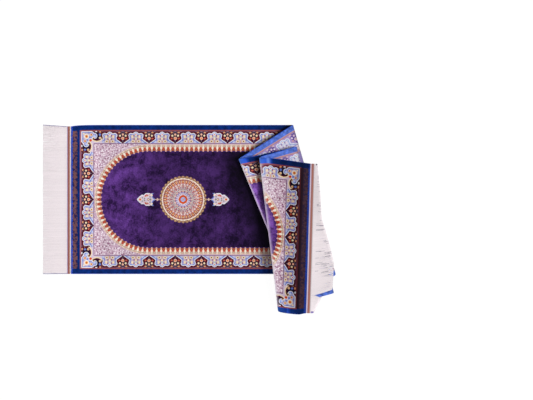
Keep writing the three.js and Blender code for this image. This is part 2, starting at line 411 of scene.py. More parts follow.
# How much painted shadow darkens pile beside a higher layer, and how far that reaches: the field and the
# whole flat layer beside the second fold's layer, the flat layer beside the fourth fold's layer and past
# the second fold's far corner, and the third layer beside the fourth fold's
FIELD_BY_SECOND = (0.86, 0.17)
FLAT_BY_SECOND = (0.55, 0.05)
FLAT_BY_FOURTH = (0.45, 0.14)
FLAT_BY_CORNER = (0.88, 0.042)
THIRD_BY_FOURTH = (0.80, 0.050)
# Past each fold that opens the pile, with a painted highlight: how light the field is, how much lighter at
# the fold, and its reach
OPENED_FIELD_HIGHLIGHT = ((FOLDS[1], 0.80, 7.0, 0.020), (FOLDS[3], 1.42, 0.4, 0.06))
# The pile at the first end is lighter, up to a place along the rug
FIRST_END_LIGHT, FIRST_END_MORE, FIRST_END_PLACE = 1.06, 0.14, 0.08
# Painted shade on the top layer: how light it is, how far past its fold it gets to that, and how much
# darker its end is, from a distance before the end and over another distance
TOP_LIGHT, TOP_REACH = 0.80, 0.04
LAST_END_DARK, LAST_END_START, LAST_END_REACH = 0.24, 0.130, 0.08


def far_edge(first, last, count):
    """Points of the far edge of the folded cloth, between two places along it."""
    return sheet_middle(np.linspace(first, last, count), np.full(count, WIDTH / 2))


def fold_edge(fold, before):
    """The left edge of a folded layer: up its fold, and on along its far edge to the fold before."""
    across = np.linspace(-WIDTH / 2, WIDTH / 2, 40)
    along = fold["far"] + (fold["near"] - fold["far"]) * (0.5 - across / WIDTH)
    return np.concatenate([sheet_middle(along, across), far_edge(fold["far"], before["far"], 20)])


def beside(edge, places, reach):
    """1 right beside a layer's left edge, fading to 0 at a distance from it."""
    away = np.interp(places[:, 1], edge[:, 1], edge[:, 0]) - places[:, 0]
    return np.where(away > 0, 1 - ease(away / reach), 0)


def darker(edge, places, much_and_reach):
    """A painted shadow: a factor below 1 right beside a layer's left edge, going back to 1 at a distance
    from it.
    """
    much, reach = much_and_reach
    return 1 - much * beside(edge, places, reach)


def field_light(along, across):
    """How light the field looks: darker by degrees on the flat layer, with painted shadow beside the second
    fold's layer, and lighter past each fold that opens the pile, with a painted highlight.
    """
    light = np.interp(along, FIELD_PLACES, FIELD_LIGHT)
    # Painted shadow on the field beside the second fold's layer
    light *= darker(fold_edge(FOLDS[1], FOLDS[0]), sheet_middle(along, across), FIELD_BY_SECOND)
    for fold, plain, more, reach in OPENED_FIELD_HIGHLIGHT:
        past = fold_at(fold, along, across)["past"]
        light = np.where(past > 0, plain + more * np.exp(-past / reach), light)
    return light


def whole_light(along, across):
    """How light all of the pile looks, layer by layer: mostly painted shadow beside higher layers and
    painted shade on the top layer. The layers that show their back keep 1.
    """
    places = sheet_middle(along, across)
    second, fourth = fold_edge(FOLDS[1], FOLDS[0]), fold_edge(FOLDS[3], FOLDS[2])
    # Painted shadow on the flat layer beside the second and the fourth fold's layers
    flat_layer = darker(second, places, FLAT_BY_SECOND) * darker(fourth, places, FLAT_BY_FOURTH)
    flat_layer *= FIRST_END_LIGHT - FIRST_END_MORE * ease((along - FIRST_END_PLACE) / FIRST_END_PLACE)
    # Painted shadow past the second fold's far corner
    corner = far_edge(FOLDS[1]["far"], FOLDS[0]["far"], 30)
    beyond = places[:, 1] > corner[0, 1]
    flat_layer *= np.where(beyond, darker(corner, places, FLAT_BY_CORNER), 1)
    # Painted shadow on the third layer beside the fourth fold's layer
    third_layer = darker(fourth, places, THIRD_BY_FOURTH)
    past_last = fold_at(FOLDS[3], along, across)["past"]
    # Painted shade on the top layer, and more towards its end
    top_layer = TOP_LIGHT + (1 - TOP_LIGHT) * np.exp(-np.clip(past_last, 0, None) / TOP_REACH)
    before_end = PILE_LENGTH - LAST_END_START
    top_layer *= 1 - LAST_END_DARK * ease((along - before_end) / LAST_END_REACH)
    past_first, past_second = (fold_at(fold, along, across)["past"] > 0 for fold in FOLDS[:2])
    light = np.where(past_first, 1, flat_layer)
    light = np.where(past_second, third_layer, light)
    return np.where(past_last > 0, top_layer, light)


print("the field is", FIELD_LIGHT[1], "at its lightest and", FIELD_LIGHT[-1], "at its darkest")

# %% [markdown]
# The slab's corners are written to a UV map called "flat", in metres, before they move, so that a finish
# can find its place on the flat rug. The faces on the underside get the second material, the back. Then
# the slab is folded.


# %% Fold the slab
def keep_flat_places(bm):
    """Keeps each corner's flat place in a UV map."""
    flat_map = bm.loops.layers.uv.new("flat")
    for face in bm.faces:
        for loop in face.loops:
            loop[flat_map].uv = loop.vert.co.xy


def finish_mesh(bm, name, materials):
    """Makes a piece of a bmesh, with its materials, and puts it on the body."""
    mesh = bpy.data.meshes.new(name)
    bm.to_mesh(mesh)
    bm.free()
    for material in materials:
        mesh.materials.append(material)
    mesh.shade_smooth()
    piece = bpy.data.objects.new(name, mesh)
    bpy.context.scene.collection.objects.link(piece)
    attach(piece, "root")
    triangles = sum(len(face.vertices) - 2 for face in mesh.polygons)
    print(name, "has", triangles, "triangles")
    return piece


keep_flat_places(slab)
flat = points_of(slab)
for face in slab.faces:
    under = face.calc_center_median().z < TOUCHING - PILE_THICKNESS / 2
    face.material_index = 1 if under else 0
put_points(slab, laid_on(sheet_middle, *flat.T))
# Kept at each point: the open pile's painted highlight, the back's painted shade in bends, and the painted
# light and shade of the field and of the whole pile
kept_values = {
    "opened_painted_light": nearness_to_bend(flat[:, 0], flat[:, 1]),
    "crease_shade": crease(flat[:, 0], flat[:, 1]),
    "field_lie_and_painted_light": field_light(flat[:, 0], flat[:, 1]),
    "whole_painted_light": whole_light(flat[:, 0], flat[:, 1]),
}
print("folded, with", list(kept_values), "kept at each point")

# %% [markdown]
# ## Patterns as sums
# A woven pattern is a rule for each knot: which colour it takes at its place. A shader can follow such
# rules with Math nodes. To keep them readable, a Reading stands for a number that the shader works out,
# and plain arithmetic on it adds the nodes.


# %% Readings
class Reading:
    """A number worked out at each point of a surface."""

    def __init__(self, tree, socket):
        self.tree, self.socket = tree, socket

    def by(self, operation, *values, first=None):
        """Adds a Math node that works on this reading and the values. first goes before this reading."""
        node = self.tree.nodes.new("ShaderNodeMath")
        node.operation = operation
        for place, value in enumerate((self, *values) if first is None else (first, self, *values)):
            if isinstance(value, Reading):
                self.tree.links.new(value.socket, node.inputs[place])
            else:
                node.inputs[place].default_value = value
        return Reading(self.tree, node.outputs[0])

    def __add__(self, other):
        return self.by("ADD", other)

    def __sub__(self, other):
        return self.by("SUBTRACT", other)

    def __rsub__(self, other):
        return self.by("SUBTRACT", first=other)

    def __mul__(self, other):
        return self.by("MULTIPLY", other)

    def __truediv__(self, other):
        return self.by("DIVIDE", other)

    def __lt__(self, other):
        return self.by("LESS_THAN", other)

    def __gt__(self, other):
        return self.by("GREATER_THAN", other)

    def __and__(self, other):
        return self.by("MULTIPLY", other)

    def __or__(self, other):
        return self.by("MAXIMUM", other)

    def __abs__(self):
        return self.by("ABSOLUTE")

    def limited(self):
        """Kept between 0 and 1."""
        return self.most(0).least(1)

    def least(self, other):
        return self.by("MINIMUM", other)

    def most(self, other):
        return self.by("MAXIMUM", other)

    def back_and_forth(self, reach):
        """Goes from 0 up to reach and back again, over and over, as a mirrored repeat does."""
        return self.by("PINGPONG", reach)

    def between(self, low, high):
        return (self > low) & (self < high)

    def knots(self, size):
        """The middle of the knot that a place falls in."""
        return self.by("SNAP", size) + size / 2


def how_far(x, y, from_x=0.0, from_y=0.0):
    """The distance from a point."""
    x, y = (x - from_x if from_x else x), (y - from_y if from_y else y)
    return (x * x + y * y).by("SQRT")


def outside_disc(x, y, disc):
    """How far outside a disc each point is, and below 0 inside. A disc is its middle and its radius."""
    from_x, from_y, radius = disc
    return how_far(x, y, from_x, from_y) - radius


def around(x, y):
    """The angle round the origin, from the x way."""
    return y.by("ARCTAN2", x)


def petals(distance, angle, count, out, size, stretch=1.0, turn=0.0):
    """How far inside or outside each point is from a ring of round petals, and below 0 inside."""
    folded = (angle - turn if turn else angle).back_and_forth(math.pi / count)
    x, y = distance * folded.by("COSINE") - out, distance * folded.by("SINE")
    if stretch != 1:
        x = x / stretch
    return how_far(x, y) - size


# %% Colours in coats
def linear(colour):
    """A colour written as in a paint chart, #rrggbb, in the numbers that a shader uses."""
    parts = [int(colour[place:place + 2], 16) / 255 for place in (1, 3, 5)]
    return [part / 12.92 if part <= 0.04045 else ((part + 0.055) / 1.055) ** 2.4 for part in parts] + [1]


class Colouring:
    """A colour built up in coats. Each coat covers the last one where its share is 1."""

    def __init__(self, tree, ground):
        self.tree, self.now = tree, ground

    def give(self, socket, colour):
        """Gives a socket a colour by its chart number, or another colouring."""
        if isinstance(colour, str):
            socket.default_value = linear(colour)[:len(socket.default_value)]
        else:
            self.tree.links.new(colour.now if isinstance(colour, Colouring) else colour, socket)

    def coat(self, share, colour):
        """Covers the colour with another one, by a share from 0 to 1."""
        mix = self.tree.nodes.new("ShaderNodeMix")
        mix.data_type = "RGBA"
        self.tree.links.new(share.socket, mix.inputs["Factor"])
        self.give(mix.inputs["A"], self.now)
        self.give(mix.inputs["B"], colour)
        self.now = mix.outputs["Result"]
        return self

    def opened_painted_light(self, share):
        """Lightens the dark colours most, as where pile opens and shows its sides, with a painted highlight.
        A share below 0 darkens them instead, as painted shade.
        """
        bent = self.tree.nodes.new("ShaderNodeGamma")
        self.give(bent.inputs["Color"], self.now)
        self.tree.links.new((1 - share).socket, bent.inputs["Gamma"])
        self.now = bent.outputs[0]
        return self

    def times(self, amount):
        """Makes the colour lighter or darker by a factor."""
        scale = self.tree.nodes.new("ShaderNodeVectorMath")
        scale.operation = "SCALE"
        self.give(scale.inputs[0], self.now)
        self.tree.links.new(amount.socket, scale.inputs["Scale"])
        self.now = scale.outputs[0]
        return self


# %% Textures and kept places
def noise(tree, places, scale, detail=2.0, distortion=0.0, roughness=0.5):
    """Soft random patches from 0 to 1. scale is how many there are in a metre."""
    node = tree.nodes.new("ShaderNodeTexNoise")
    node.noise_dimensions = "2D"
    node.inputs["Scale"].default_value = scale
    node.inputs["Detail"].default_value = detail
    node.inputs["Distortion"].default_value = distortion
    node.inputs["Roughness"].default_value = roughness
    tree.links.new(places, node.inputs["Vector"])
    return Reading(tree, node.outputs[0])


def as_place(tree, x, y):
    """Two readings as one place, for a texture to be read at."""
    joined = tree.nodes.new("ShaderNodeCombineXYZ")
    for number, value in enumerate((x, y)):
        tree.links.new(value.socket, joined.inputs[number])
    return joined.outputs[0]


def kept(tree, name):
    """A value kept at each point of the piece."""
    node = tree.nodes.new("ShaderNodeAttribute")
    node.attribute_name = name
    return Reading(tree, node.outputs["Fac"])


def flat_places(tree):
    """Where each point was on the flat rug, along and across in millimetres, and as a place in metres."""
    chart = tree.nodes.new("ShaderNodeUVMap")
    chart.uv_map = "flat"
    apart = tree.nodes.new("ShaderNodeSeparateXYZ")
    tree.links.new(chart.outputs[0], apart.inputs[0])
    along, across = (Reading(tree, apart.outputs[place]) * 1000 for place in (0, 1))
    return along, across, chart.outputs[0]


print("readings are ready")

# %% [markdown]
# ## The pattern's plan
# The layout is an old one: a plain edge, guard stripes, a border of cloud shapes and blossoms, light
# corners with fine vines, an edging of drops, and a plain field with a medallion and two pendants. Both
# halves of a rug mirror each other, along and across, so one quarter is planned. A knot is 1.5 mm, and
# each place is moved to the middle of its knot, which steps the curves as weaving does.

# %% Plan of the quarter
# All in millimetres: where the plain band ends and the border starts, from the side and from the end,
# how deep the border, its inner line and the edging of drops are, and where the field starts
KNOT = 1.5
HALF_LENGTH = PILE_LENGTH * 500
HALF_WIDTH = WIDTH * 500
SIDE_BAND = 23.6
SIDE_FRAME = 27.5
END_BAND = 39.5
END_FRAME = 45.5
BORDER = 55.0
BORDER_LINE = 3.2
EDGING = 37.0
FIELD_RADIUS = HALF_WIDTH - SIDE_FRAME - BORDER - BORDER_LINE - EDGING
FIELD_START = 352.0
MEDALLION_PLACE = 502.5
# How much shorter the second half is woven, and how much more so towards the near side
TIGHTER = 3.6
SKEW = 0.005
# Where the side border's repeats run ahead or lag, by how much, and how far along that reaches
DRIFTS = ((1335, -22), (1582, 23))
DRIFT_REACH = 110


def quarter(along, across):
    """The distances from the end and from the side, in whole knots. The second half is woven tighter."""
    second = (along - HALF_LENGTH).most(0) / HALF_LENGTH
    along = along + second * (across * -SKEW + TIGHTER)
    from_end = along.knots(KNOT).back_and_forth(HALF_LENGTH)
    middle = abs(across).knots(KNOT)
    return from_end, middle


class Places:
    """Where each point lies on the flat rug, and in the quarter that the pattern is planned for."""

    def __init__(self, tree):
        self.along, self.across, self.spot = flat_places(tree)
        self.from_end, self.middle = quarter(self.along, self.across)
        self.from_side = HALF_WIDTH - self.middle


def drifted(along, from_end):
    """The side border's repeats aren't quite even: they run ahead at one place and lag at another."""
    for place, shift in DRIFTS:
        from_end = from_end + (1 - abs(along - place) / DRIFT_REACH).most(0) * shift
    return from_end


def ovals(done, colours, x, y, table):
    """Lays ovals over a colouring, each with its middle, half sizes and colour."""
    for at_x, at_y, half_x, half_y, colour in table:
        x_share = x.by("MULTIPLY_ADD", 1 / half_x, -at_x / half_x)
        y_share = y.by("MULTIPLY_ADD", 1 / half_y, -at_y / half_y)
        done.coat(y_share.by("MULTIPLY_ADD", y_share, x_share * x_share) < 1, colours[colour])
    return done


print("border from the end and the side, in mm:", END_FRAME, SIDE_FRAME, "and", BORDER, "deep")

# %% [markdown]
# The border repeats every 118 mm: a cloud with a white edge that stands on the inner line, and a maroon
# vase that hangs from the outer one, with a blossom in it. The cloud is two round lobes on a body with a
# spreading foot. The flowers in both are small ovals, charted in a short table. Only half of
# each form is charted, because the repeat is mirrored.

# %% Border
REPEAT = 58.8
END_REPEAT = 58.5
FIRST_CLOUD = 173.2
# x from the middle of the form, depth from the outer line, half sizes, colour
BLOSSOM = (
    (0, 22, 18, 19, "shade"), (0, 42, 6.5, 10, "shade"), (0, 3.6, 6, 3, "mauve_grey"),
    (24, 2.6, 6, 1.8, "mauve_grey"), (8, 9.5, 2.4, 3, "mauve_grey"), (22, 17, 1.6, 4, "mauve_grey"),
    (15.5, 7.0, 5.0, 3.4, "apricot"), (0, 15.8, 4.8, 4.8, "rose"), (12.8, 21.2, 4.4, 4.6, "cream"),
    (15.2, 33.6, 5.0, 3.8, "coral"), (0, 42.5, 2.2, 6, "mauve_grey"), (0, 33, 7.2, 7.2, "rose"),
    (0, 33, 3.2, 3.2, "orange"),
)
CLOUD_FLOWERS = (
    (24.5, 39.5, 3.2, 5.5, "outline"), (30, 50, 5, 3, "sky"), (42, 52, 5, 2.2, "outline"),
    (8.6, 21.5, 3.4, 3.6, "plum"), (8, 36.5, 4.4, 3, "plum"), (0, 15.8, 6.4, 6, "pale"),
    (0, 15.8, 2.8, 2.8, "orange"), (15.8, 25.1, 4.6, 7, "cream"), (0, 25.6, 3.4, 3.4, "sage"),
    (0, 34.5, 4.6, 5.4, "cream"), (0, 48, 2.2, 7.5, "apricot"), (13, 46.6, 7, 6, "cream"),
    (13, 46.6, 3, 3, "brown"),
)
# A cloud's lobes: x, depth, radius. Its body: x of a side, depth where that starts, and how much further
# out the side is for each millimetre in. The foot spreads, and FOOT_SQUARE makes its slant a distance.
CLOUD_LOBES = ((0, 15.8, 12.2), (22.8, 20, 10.8))
CLOUD_BODY = ((25, 11, 0), (33, 18, -0.16))
FOOT_X, FOOT_DEPTH, FOOT_SPREAD = 29.5, 36, 1.45
FOOT_SQUARE = 0.57
# How far in from a cloud's edge its white rim and its blue outline end
CLOUD_RIM, CLOUD_OUTLINE = 3.4, 7.2
DARK_LINE = 2.4


def cloud_edge(x, depth):
    """How far outside a cloud's edge each point is, and below 0 inside."""
    edge = (x - FOOT_X - (depth - FOOT_DEPTH) * FOOT_SPREAD) * FOOT_SQUARE
    for lobe in CLOUD_LOBES:
        edge = edge.least(outside_disc(x, depth, lobe))
    for side, top, spread in CLOUD_BODY:
        edge = edge.least((x - side - (depth - top) * spread).most(top - depth))
    return edge


def border(tree, colours, x, depth):
    """x is 0 at a cloud's middle and REPEAT at a blossom's, and depth goes in from the outer line."""
    done = Colouring(tree, colours["maroon"])
    done.coat(depth < DARK_LINE, colours["guard_dark"])
    ovals(done, colours, REPEAT - x, depth, BLOSSOM)
    edge = cloud_edge(x, depth)
    cloud = Colouring(tree, colours["pale"])
    cloud.coat(edge < -CLOUD_RIM, colours["outline"]).coat(edge < -CLOUD_OUTLINE, colours["mist"])
    ovals(cloud, colours, x, depth, CLOUD_FLOWERS)
    return done.coat(edge < 0, cloud)


print("a cloud and a blossom every", 2 * REPEAT, "mm")

# %% [markdown]
# A border that turned a corner in mid-cloud would look cut off, so the corner has a form of its own: a
# crown on the diagonal, with a dark curl round each of its lobes. The corner is the same on both sides
# of its diagonal, so it is charted once.

# %% Corner
CORNER = 94.0
# out from the corner along either side, depth from the outer line, half sizes, colour
CURL_FLOWERS = (
    (70, 22, 19, 17, "shade"), (84, 31, 5, 5, "cream"), (84, 31, 2.4, 2.4, "orange"),
    (83.5, 16.5, 4.6, 5.6, "outline"), (85, 4, 5, 3.4, "apricot"), (67, 2.5, 5, 2.6, "pale"),
)
CROWN_FLOWERS = (
    (35, 8, 6, 2.6, "outline"), (37, 28, 4.6, 4.6, "outline"), (64, 21, 5, 5.4, "outline"),
    (23.8, 23.8, 12, 12, "pale"), (23.8, 23.8, 9.4, 9.4, "cream"), (23.8, 23.8, 6, 6, "orange"),
    (23.8, 23.8, 2.4, 2.4, "rust"), (45, 17, 6.4, 5.6, "cream"), (45, 17, 4.2, 4, "orange"),
    (45, 17, 2, 2, "rust"), (10.5, 11.5, 4.4, 4.4, "cream"), (60, 24, 6, 5, "sky"),
    (55.7, 32.3, 5.4, 4.8, "cream"), (55.7, 32.3, 2.6, 2.6, "brown"),
)
ON_DIAGONAL = ((41.5, 41.5, 6, 6, "orange_deep"),)
# The crown's body ends this far out and this deep. Its lobes are discs: out, depth, radius.
CROWN_OUT, CROWN_DEPTH = 50, 36
CROWN_LOBES = ((45, 14, 13), (59, 22, 13))
CROWN_RIM, CROWN_OUTLINE = 3.2, 6
# The curl is a disc, a little longer outwards, and a strip along the outer line leads to it
CURL_OUT, CURL_DEPTH, CURL_RADIUS = 70, 22, 22.5
CURL_LONGER = 0.9
CURL_RIM = 4.5
STRIP_OUT, STRIP_DEPTH = 48, 12


def corner(tree, colours, out, depth):
    """out is the greater distance from the outer line and depth the smaller one, on both sides alike."""
    crown = (out - CROWN_OUT).most(depth - CROWN_DEPTH)
    for lobe in CROWN_LOBES:
        crown = crown.least(outside_disc(out, depth, lobe))
    crown = crown.most(1 - depth)
    curl = how_far((out - CURL_OUT) * CURL_LONGER, depth - CURL_DEPTH) - CURL_RADIUS
    curl = curl.least((STRIP_OUT - out).most(depth - STRIP_DEPTH))
    done = Colouring(tree, colours["blush"])
    done.coat(curl < CURL_RIM, colours["cream"]).coat(curl < 0, colours["maroon"])
    ovals(done, colours, out, depth, CURL_FLOWERS)
    inside = Colouring(tree, colours["pale"])
    inside.coat(crown < -CROWN_RIM, colours["outline"]).coat(crown < -CROWN_OUTLINE, colours["mist"])
    ovals(inside, colours, out, depth, CROWN_FLOWERS)
    done.coat(crown < 0, inside)
    return ovals(done, colours, out, depth, ON_DIAGONAL)


print("the corner form reaches", CORNER, "mm each way")

# %% [markdown]
# The corners of the field are filled with a fine vine: thin curling lines with small flowers between.
# Contour lines of a warped noise curl just so, and a Voronoi texture scatters the flowers evenly.

# %% Vine ground
VINES, CURLING = 62, 1.2
# Each set of scattered flowers: how many in a metre, how far its pattern is moved, size and colour
SCATTERED = ((100, 0, 0.30, "white"), (62, 3.3, 0.17, "vine_dark"))


def scattered(tree, spot, scale, move):
    """The distance to the nearest of many scattered points, as a share of their spacing."""
    texture = tree.nodes.new("ShaderNodeTexVoronoi")
    texture.voronoi_dimensions = "2D"
    texture.inputs["Scale"].default_value = scale
    moved = tree.nodes.new("ShaderNodeVectorMath")
    moved.inputs[1].default_value = (move, move, 0)
    tree.links.new(spot, moved.inputs[0])
    tree.links.new(moved.outputs[0], texture.inputs["Vector"])
    return Reading(tree, texture.outputs["Distance"])


def vine_ground(tree, colours, spot):
    done = Colouring(tree, colours["ground"])
    lines = (noise(tree, spot, VINES, detail=1.0, distortion=CURLING) * 5).by("FRACT")
    done.coat(lines.between(0.35, 0.62), colours["vine"])
    for scale, move, size, colour in SCATTERED:
        done.coat(scattered(tree, spot, scale, move) < size, colours[colour])
    return done


print("vine ground: flowers of", len(SCATTERED), "colours between the vines")

# %% [markdown]
# The field's edging is a row of drops on cream. Between each two, a small scallop hangs into the field,
# and a thin brown line waves round them on the outside. At the ends of the field the row goes round an
# arch, so it is charted by the way round and the distance out from the field.

# %% Edging of drops
DROPS_ROUND = 34
DROP_SPACING = (HALF_LENGTH - FIELD_START) / 30
# round place from a drop's middle, place out from the field, half sizes, colour
DROP = (
    (10.5, 19.6, 3.9, 8.8, "cream_light"), (0, 12.6, 7.2, 7.2, "rust"), (0, 17.8, 5.6, 7.0, "coral"),
    (0, 16.6, 2.8, 4.2, "red"), (0, 25.4, 2.4, 2.4, "cream_light"), (10.5, 31, 4, 2.2, "cream_light"),
    (0, 31, 2.6, 1.8, "apricot"),
)
# How far out the field shows between the scallops, and where the dark rows round it end
FIELD_SHOWS = 2.4
DARK_ROW_END = 5.4
BASE_END = 12.0
# The waved line: how far it waves, where it starts and ends, and where the vine ground comes in
WAVE = 1.2
LINE_START, LINE_END = 26.4, 28
GROUND_START = 34
SCALLOP_OUT, SCALLOP_RADIUS, SCALLOP_NARROWER = 6.8, 4.4, 1.1


def drops(tree, colours, place, out):
    """place is 0 at a drop's middle, and out goes outwards from the field, both in millimetres."""
    done = Colouring(tree, colours["cream_dull"])
    done.coat(out < BASE_END, colours["rust"])
    ovals(done, colours, place, out, DROP)
    waved = out + (place * (2 * math.pi / DROP_SPACING)).by("COSINE") * WAVE
    done.coat(waved.between(LINE_START, LINE_END), colours["brown"])
    done.coat(waved > GROUND_START, colours["ground"])
    done.coat(out < DARK_ROW_END, colours["indigo"])
    scallop = (DROP_SPACING / 2 * SCALLOP_NARROWER, SCALLOP_OUT, SCALLOP_RADIUS)
    edge = outside_disc(place * SCALLOP_NARROWER, out, scallop)
    done.coat(edge < 0, colours["salmon"])
    return done, (out > FIELD_SHOWS) | (edge < 0)


print("drops round each end:", DROPS_ROUND, "spacing, in mm:", round(DROP_SPACING, 2))


# %% [markdown]
# The medallion is rings of petals, one inside the other: a scalloped gold rim, a white ring, a ring of
# orange blossoms, a pale lattice of small flowers, a pale blue halo and a red ring round the middle. Fold
# the angle back and forth, and one petal becomes a whole ring. So each ring is one row of a table.

# %% Medallion
# Each row is a ring of petals, or a plain disc where the count is 0: count, distance out, size, how much
# longer they are outwards, colour, and whether they stand between the last ring's petals.
RINGS = (
    (36, 100.2, 4.5, 1.0, "brown", 0), (36, 100.8, 2.8, 1.0, "gold", 0),
    (36, 101.6, 1.8, 1.0, "cream", 0), (0, 96.6, 0, 1.0, "brown", 0),
    (0, 95.6, 0, 1.0, "cream_light", 0), (36, 95.0, 1.7, 1.0, "gold", 0),
    (0, 91.4, 0, 1.0, "salmon", 0), (36, 91.2, 1.5, 1.4, "cream_light", 1),
    (0, 89.4, 0, 1.0, "rust", 0), (36, 86.8, 2.6, 1.0, "plum", 1),
    (36, 87.4, 2.0, 1.2, "cream_pink", 0), (0, 76.5, 0, 1.0, "salmon", 0),
    (32, 79.6, 5.4, 1.4, "maroon", 0), (32, 79.6, 4.5, 1.5, "rust", 0),
    (32, 80.0, 3.3, 1.9, "orange", 0), (32, 80.5, 1.5, 2.2, "cream", 0),
    (32, 80.0, 2.3, 2.4, "cream_pink", 1), (32, 73.6, 1.9, 1.2, "plum", 1),
    (32, 71.0, 2.0, 1.0, "red", 0), (0, 68.6, 0, 1.0, "lattice", 0),
    (32, 67.4, 2.4, 1.0, "cream_light", 1), (32, 65.6, 1.9, 1.0, "plum", 0),
    (20, 61.5, 4.6, 1.0, "plum", 1), (20, 61.5, 3.8, 1.0, "cream_light", 1),
    (20, 61.5, 1.9, 1.0, "berry", 1), (20, 60.5, 3.4, 1.1, "red", 0),
    (20, 60.5, 1.6, 1.0, "cream", 0), (20, 55.8, 2.2, 1.0, "plum", 0),
    (32, 53.0, 2.4, 1.0, "plum", 0), (32, 53.6, 2.2, 1.0, "cream_pink", 1),
    (20, 45.8, 6.6, 1.0, "shade", 1), (20, 45.8, 5.6, 1.0, "pale", 1),
    (20, 45.8, 3.7, 1.0, "brown", 1), (20, 45.8, 2.0, 1.0, "cream_pink", 1),
    (20, 49.5, 2.0, 1.0, "berry", 0), (20, 41.5, 1.6, 1.0, "cream_light", 0),
    (16, 37.6, 3.0, 1.2, "rose", 0), (16, 36.4, 2.2, 1.2, "plum", 1),
    (20, 32.4, 1.9, 1.0, "plum", 1), (20, 27.2, 4.0, 1.7, "outline", 0),
    (20, 26.8, 2.8, 2.1, "blush", 0), (0, 21.9, 0, 1.0, "pale", 0),
    (8, 15.5, 5.8, 1.0, "orange_deep", 0), (0, 19.6, 0, 1.0, "orange_deep", 0),
    (16, 17.2, 1.2, 1.0, "apricot", 0), (0, 10.6, 0, 1.0, "sky", 0),
    (8, 7.2, 1.9, 1.0, "outline", 0), (0, 3.2, 0, 1.0, "orange", 0),
)
# The scalloped rim: count, distance out and size of its petals, and the disc that fills it
RIM_COUNT, RIM_OUT, RIM_SIZE = 36, 98.0, 7.9
RIM_DISC = 97


def medallion(tree, colours, distance, angle):
    """The rings, laid from the rim inwards, and where they are."""
    done = Colouring(tree, colours["gold"])
    for count, out, size, stretch, colour, between in RINGS:
        if count:
            turn = math.pi / count if between else 0
            done.coat(petals(distance, angle, count, out, size, stretch, turn) < 0, colours[colour])
        else:
            done.coat(distance < out, colours[colour])
    rim = petals(distance, angle, RIM_COUNT, RIM_OUT, RIM_SIZE)
    return done, (rim < 0) | (distance < RIM_DISC)


print("medallion:", len(RINGS), "rings, out to", RIM_OUT + RIM_SIZE, "mm")

# %% [markdown]
# Each pendant is a pointed leaf with a tail like a fish, held to the medallion by a thin stem with a
# knot in it.

# %% Pendants
# How far out the leaf's tip and its broadest place are, half its breadth, and how round the tip is
LEAF_TIP = 208.0
LEAF_SHOULDER = 166.0
LEAF_HALF = 28.2
LEAF_ROUND = 1.8
# how far out each notch in the leaf's edge is, how far it reaches, and how deep it is
LEAF_NOTCHES = ((176, 9, 6.5), (145, 6, 3))
LEAF_RIM = 4.4
# The tail starts this far out, and a disc bites into it: out, side, radius
TAIL_START = 127
TAIL_BITE = (124, 17, 13)
TAIL_OUTLINE = 4.2
# Half the stem's breadth, where it starts and ends, and where its colour ends
STEM_HALF, STEM_START, STEM_END = 1.6, 100, 135
STEM_COLOUR_END = 128
# The knot in the stem: how far out, how much shorter it is outwards, and its radius
STEM_KNOT, KNOT_SHORTER, KNOT_RADIUS = 114.5, 1.5, 6.6
# out from the medallion's middle, away from the middle line, half sizes, colour
PENDANT_FLOWERS = (
    (193, 0, 7.2, 6, "cream"), (193, 0, 4.8, 4.4, "orange_deep"), (183, 8, 2.6, 3, "sage_dark"),
    (173, 4, 2.8, 3.6, "sage_dark"), (173, 13, 3.4, 3, "salmon"), (163, 16, 9, 6, "cream_light"),
    (163.5, 16.8, 8.4, 5.2, "red"), (162, 13.6, 4.2, 2.8, "cream_light"), (162, 13.2, 2.6, 1.8, "brown"),
    (156, 0, 5.6, 5.6, "brown"), (156, 0, 3.2, 3.2, "cream"), (146, 0, 3.2, 4.6, "sage_dark"),
    (148, 12, 3.2, 3, "sage_dark"), (140, 19, 3.6, 4, "cream"), (150, 22, 4, 3, "salmon"),
)


def pendant(tree, colours, out, side):
    """out goes from the medallion's middle along the rug, and side away from the middle line."""
    slope = (out - LEAF_SHOULDER).most(0) / (LEAF_TIP - LEAF_SHOULDER)
    half = (1 - slope.by("POWER", LEAF_ROUND)) * LEAF_HALF
    for place, reach, deep in LEAF_NOTCHES:
        half = half - (1 - abs(out - place) / reach).most(0) * deep
    bite = outside_disc(out, side, TAIL_BITE) * -1
    leaf = (side - half).most(TAIL_START - out).most(bite)
    stem = (side - STEM_HALF).most(out - STEM_END).most(STEM_START - out)
    knot = how_far((out - STEM_KNOT) * KNOT_SHORTER, side) - KNOT_RADIUS
    done = Colouring(tree, colours["blush"])
    done.coat(leaf > -LEAF_RIM, colours["pale"]).coat(bite > -TAIL_OUTLINE, colours["outline"])
    ovals(done, colours, out, side, PENDANT_FLOWERS)
    done.coat(out < STEM_COLOUR_END, colours["cream_pink"])
    return done, (leaf < 0) | (stem < 0) | (knot < 0)


print("each pendant reaches", LEAF_TIP, "mm out from the medallion's middle")

# %% [markdown]
# A plain dark blue band runs all round the rug, and a thin guard stripe lies between it and the border.
# Where the band goes over a fold its pile opens, and a painted highlight turns the blue bright. At each end
# it holds a mottled brown row: small lozenges, blurred where the fine yarns run into each other. Straight
# stripes need no table, only how far a point is from the side and from the end.

# %% The plain band
# How wide the selvedge's painted highlight is, in mm
SELVEDGE = 2.2
# How many patches of dye there are in a metre, how much they vary, and the least that is left
DYE_PATCHES, DYE_VARIES, DYE_LEAST = 60, 1.8, 0.12
# How fast the opened pile turns bright blue towards a bend, as painted highlight, and how near that starts
OPEN_FAST, OPEN_START = 7, 0.45
# The near side keeps some of that painted highlight past the last fold, between these places along the rug
NEAR_OPEN = (1835, 1876)
# A painted highlight, a pale streak at the far side: how near to a bend it lies, how narrow it is, its
# share, and past where
STREAK_AT, STREAK_NARROW, STREAK_SHARE, STREAK_PAST = 0.23, 9, 0.8, 1650


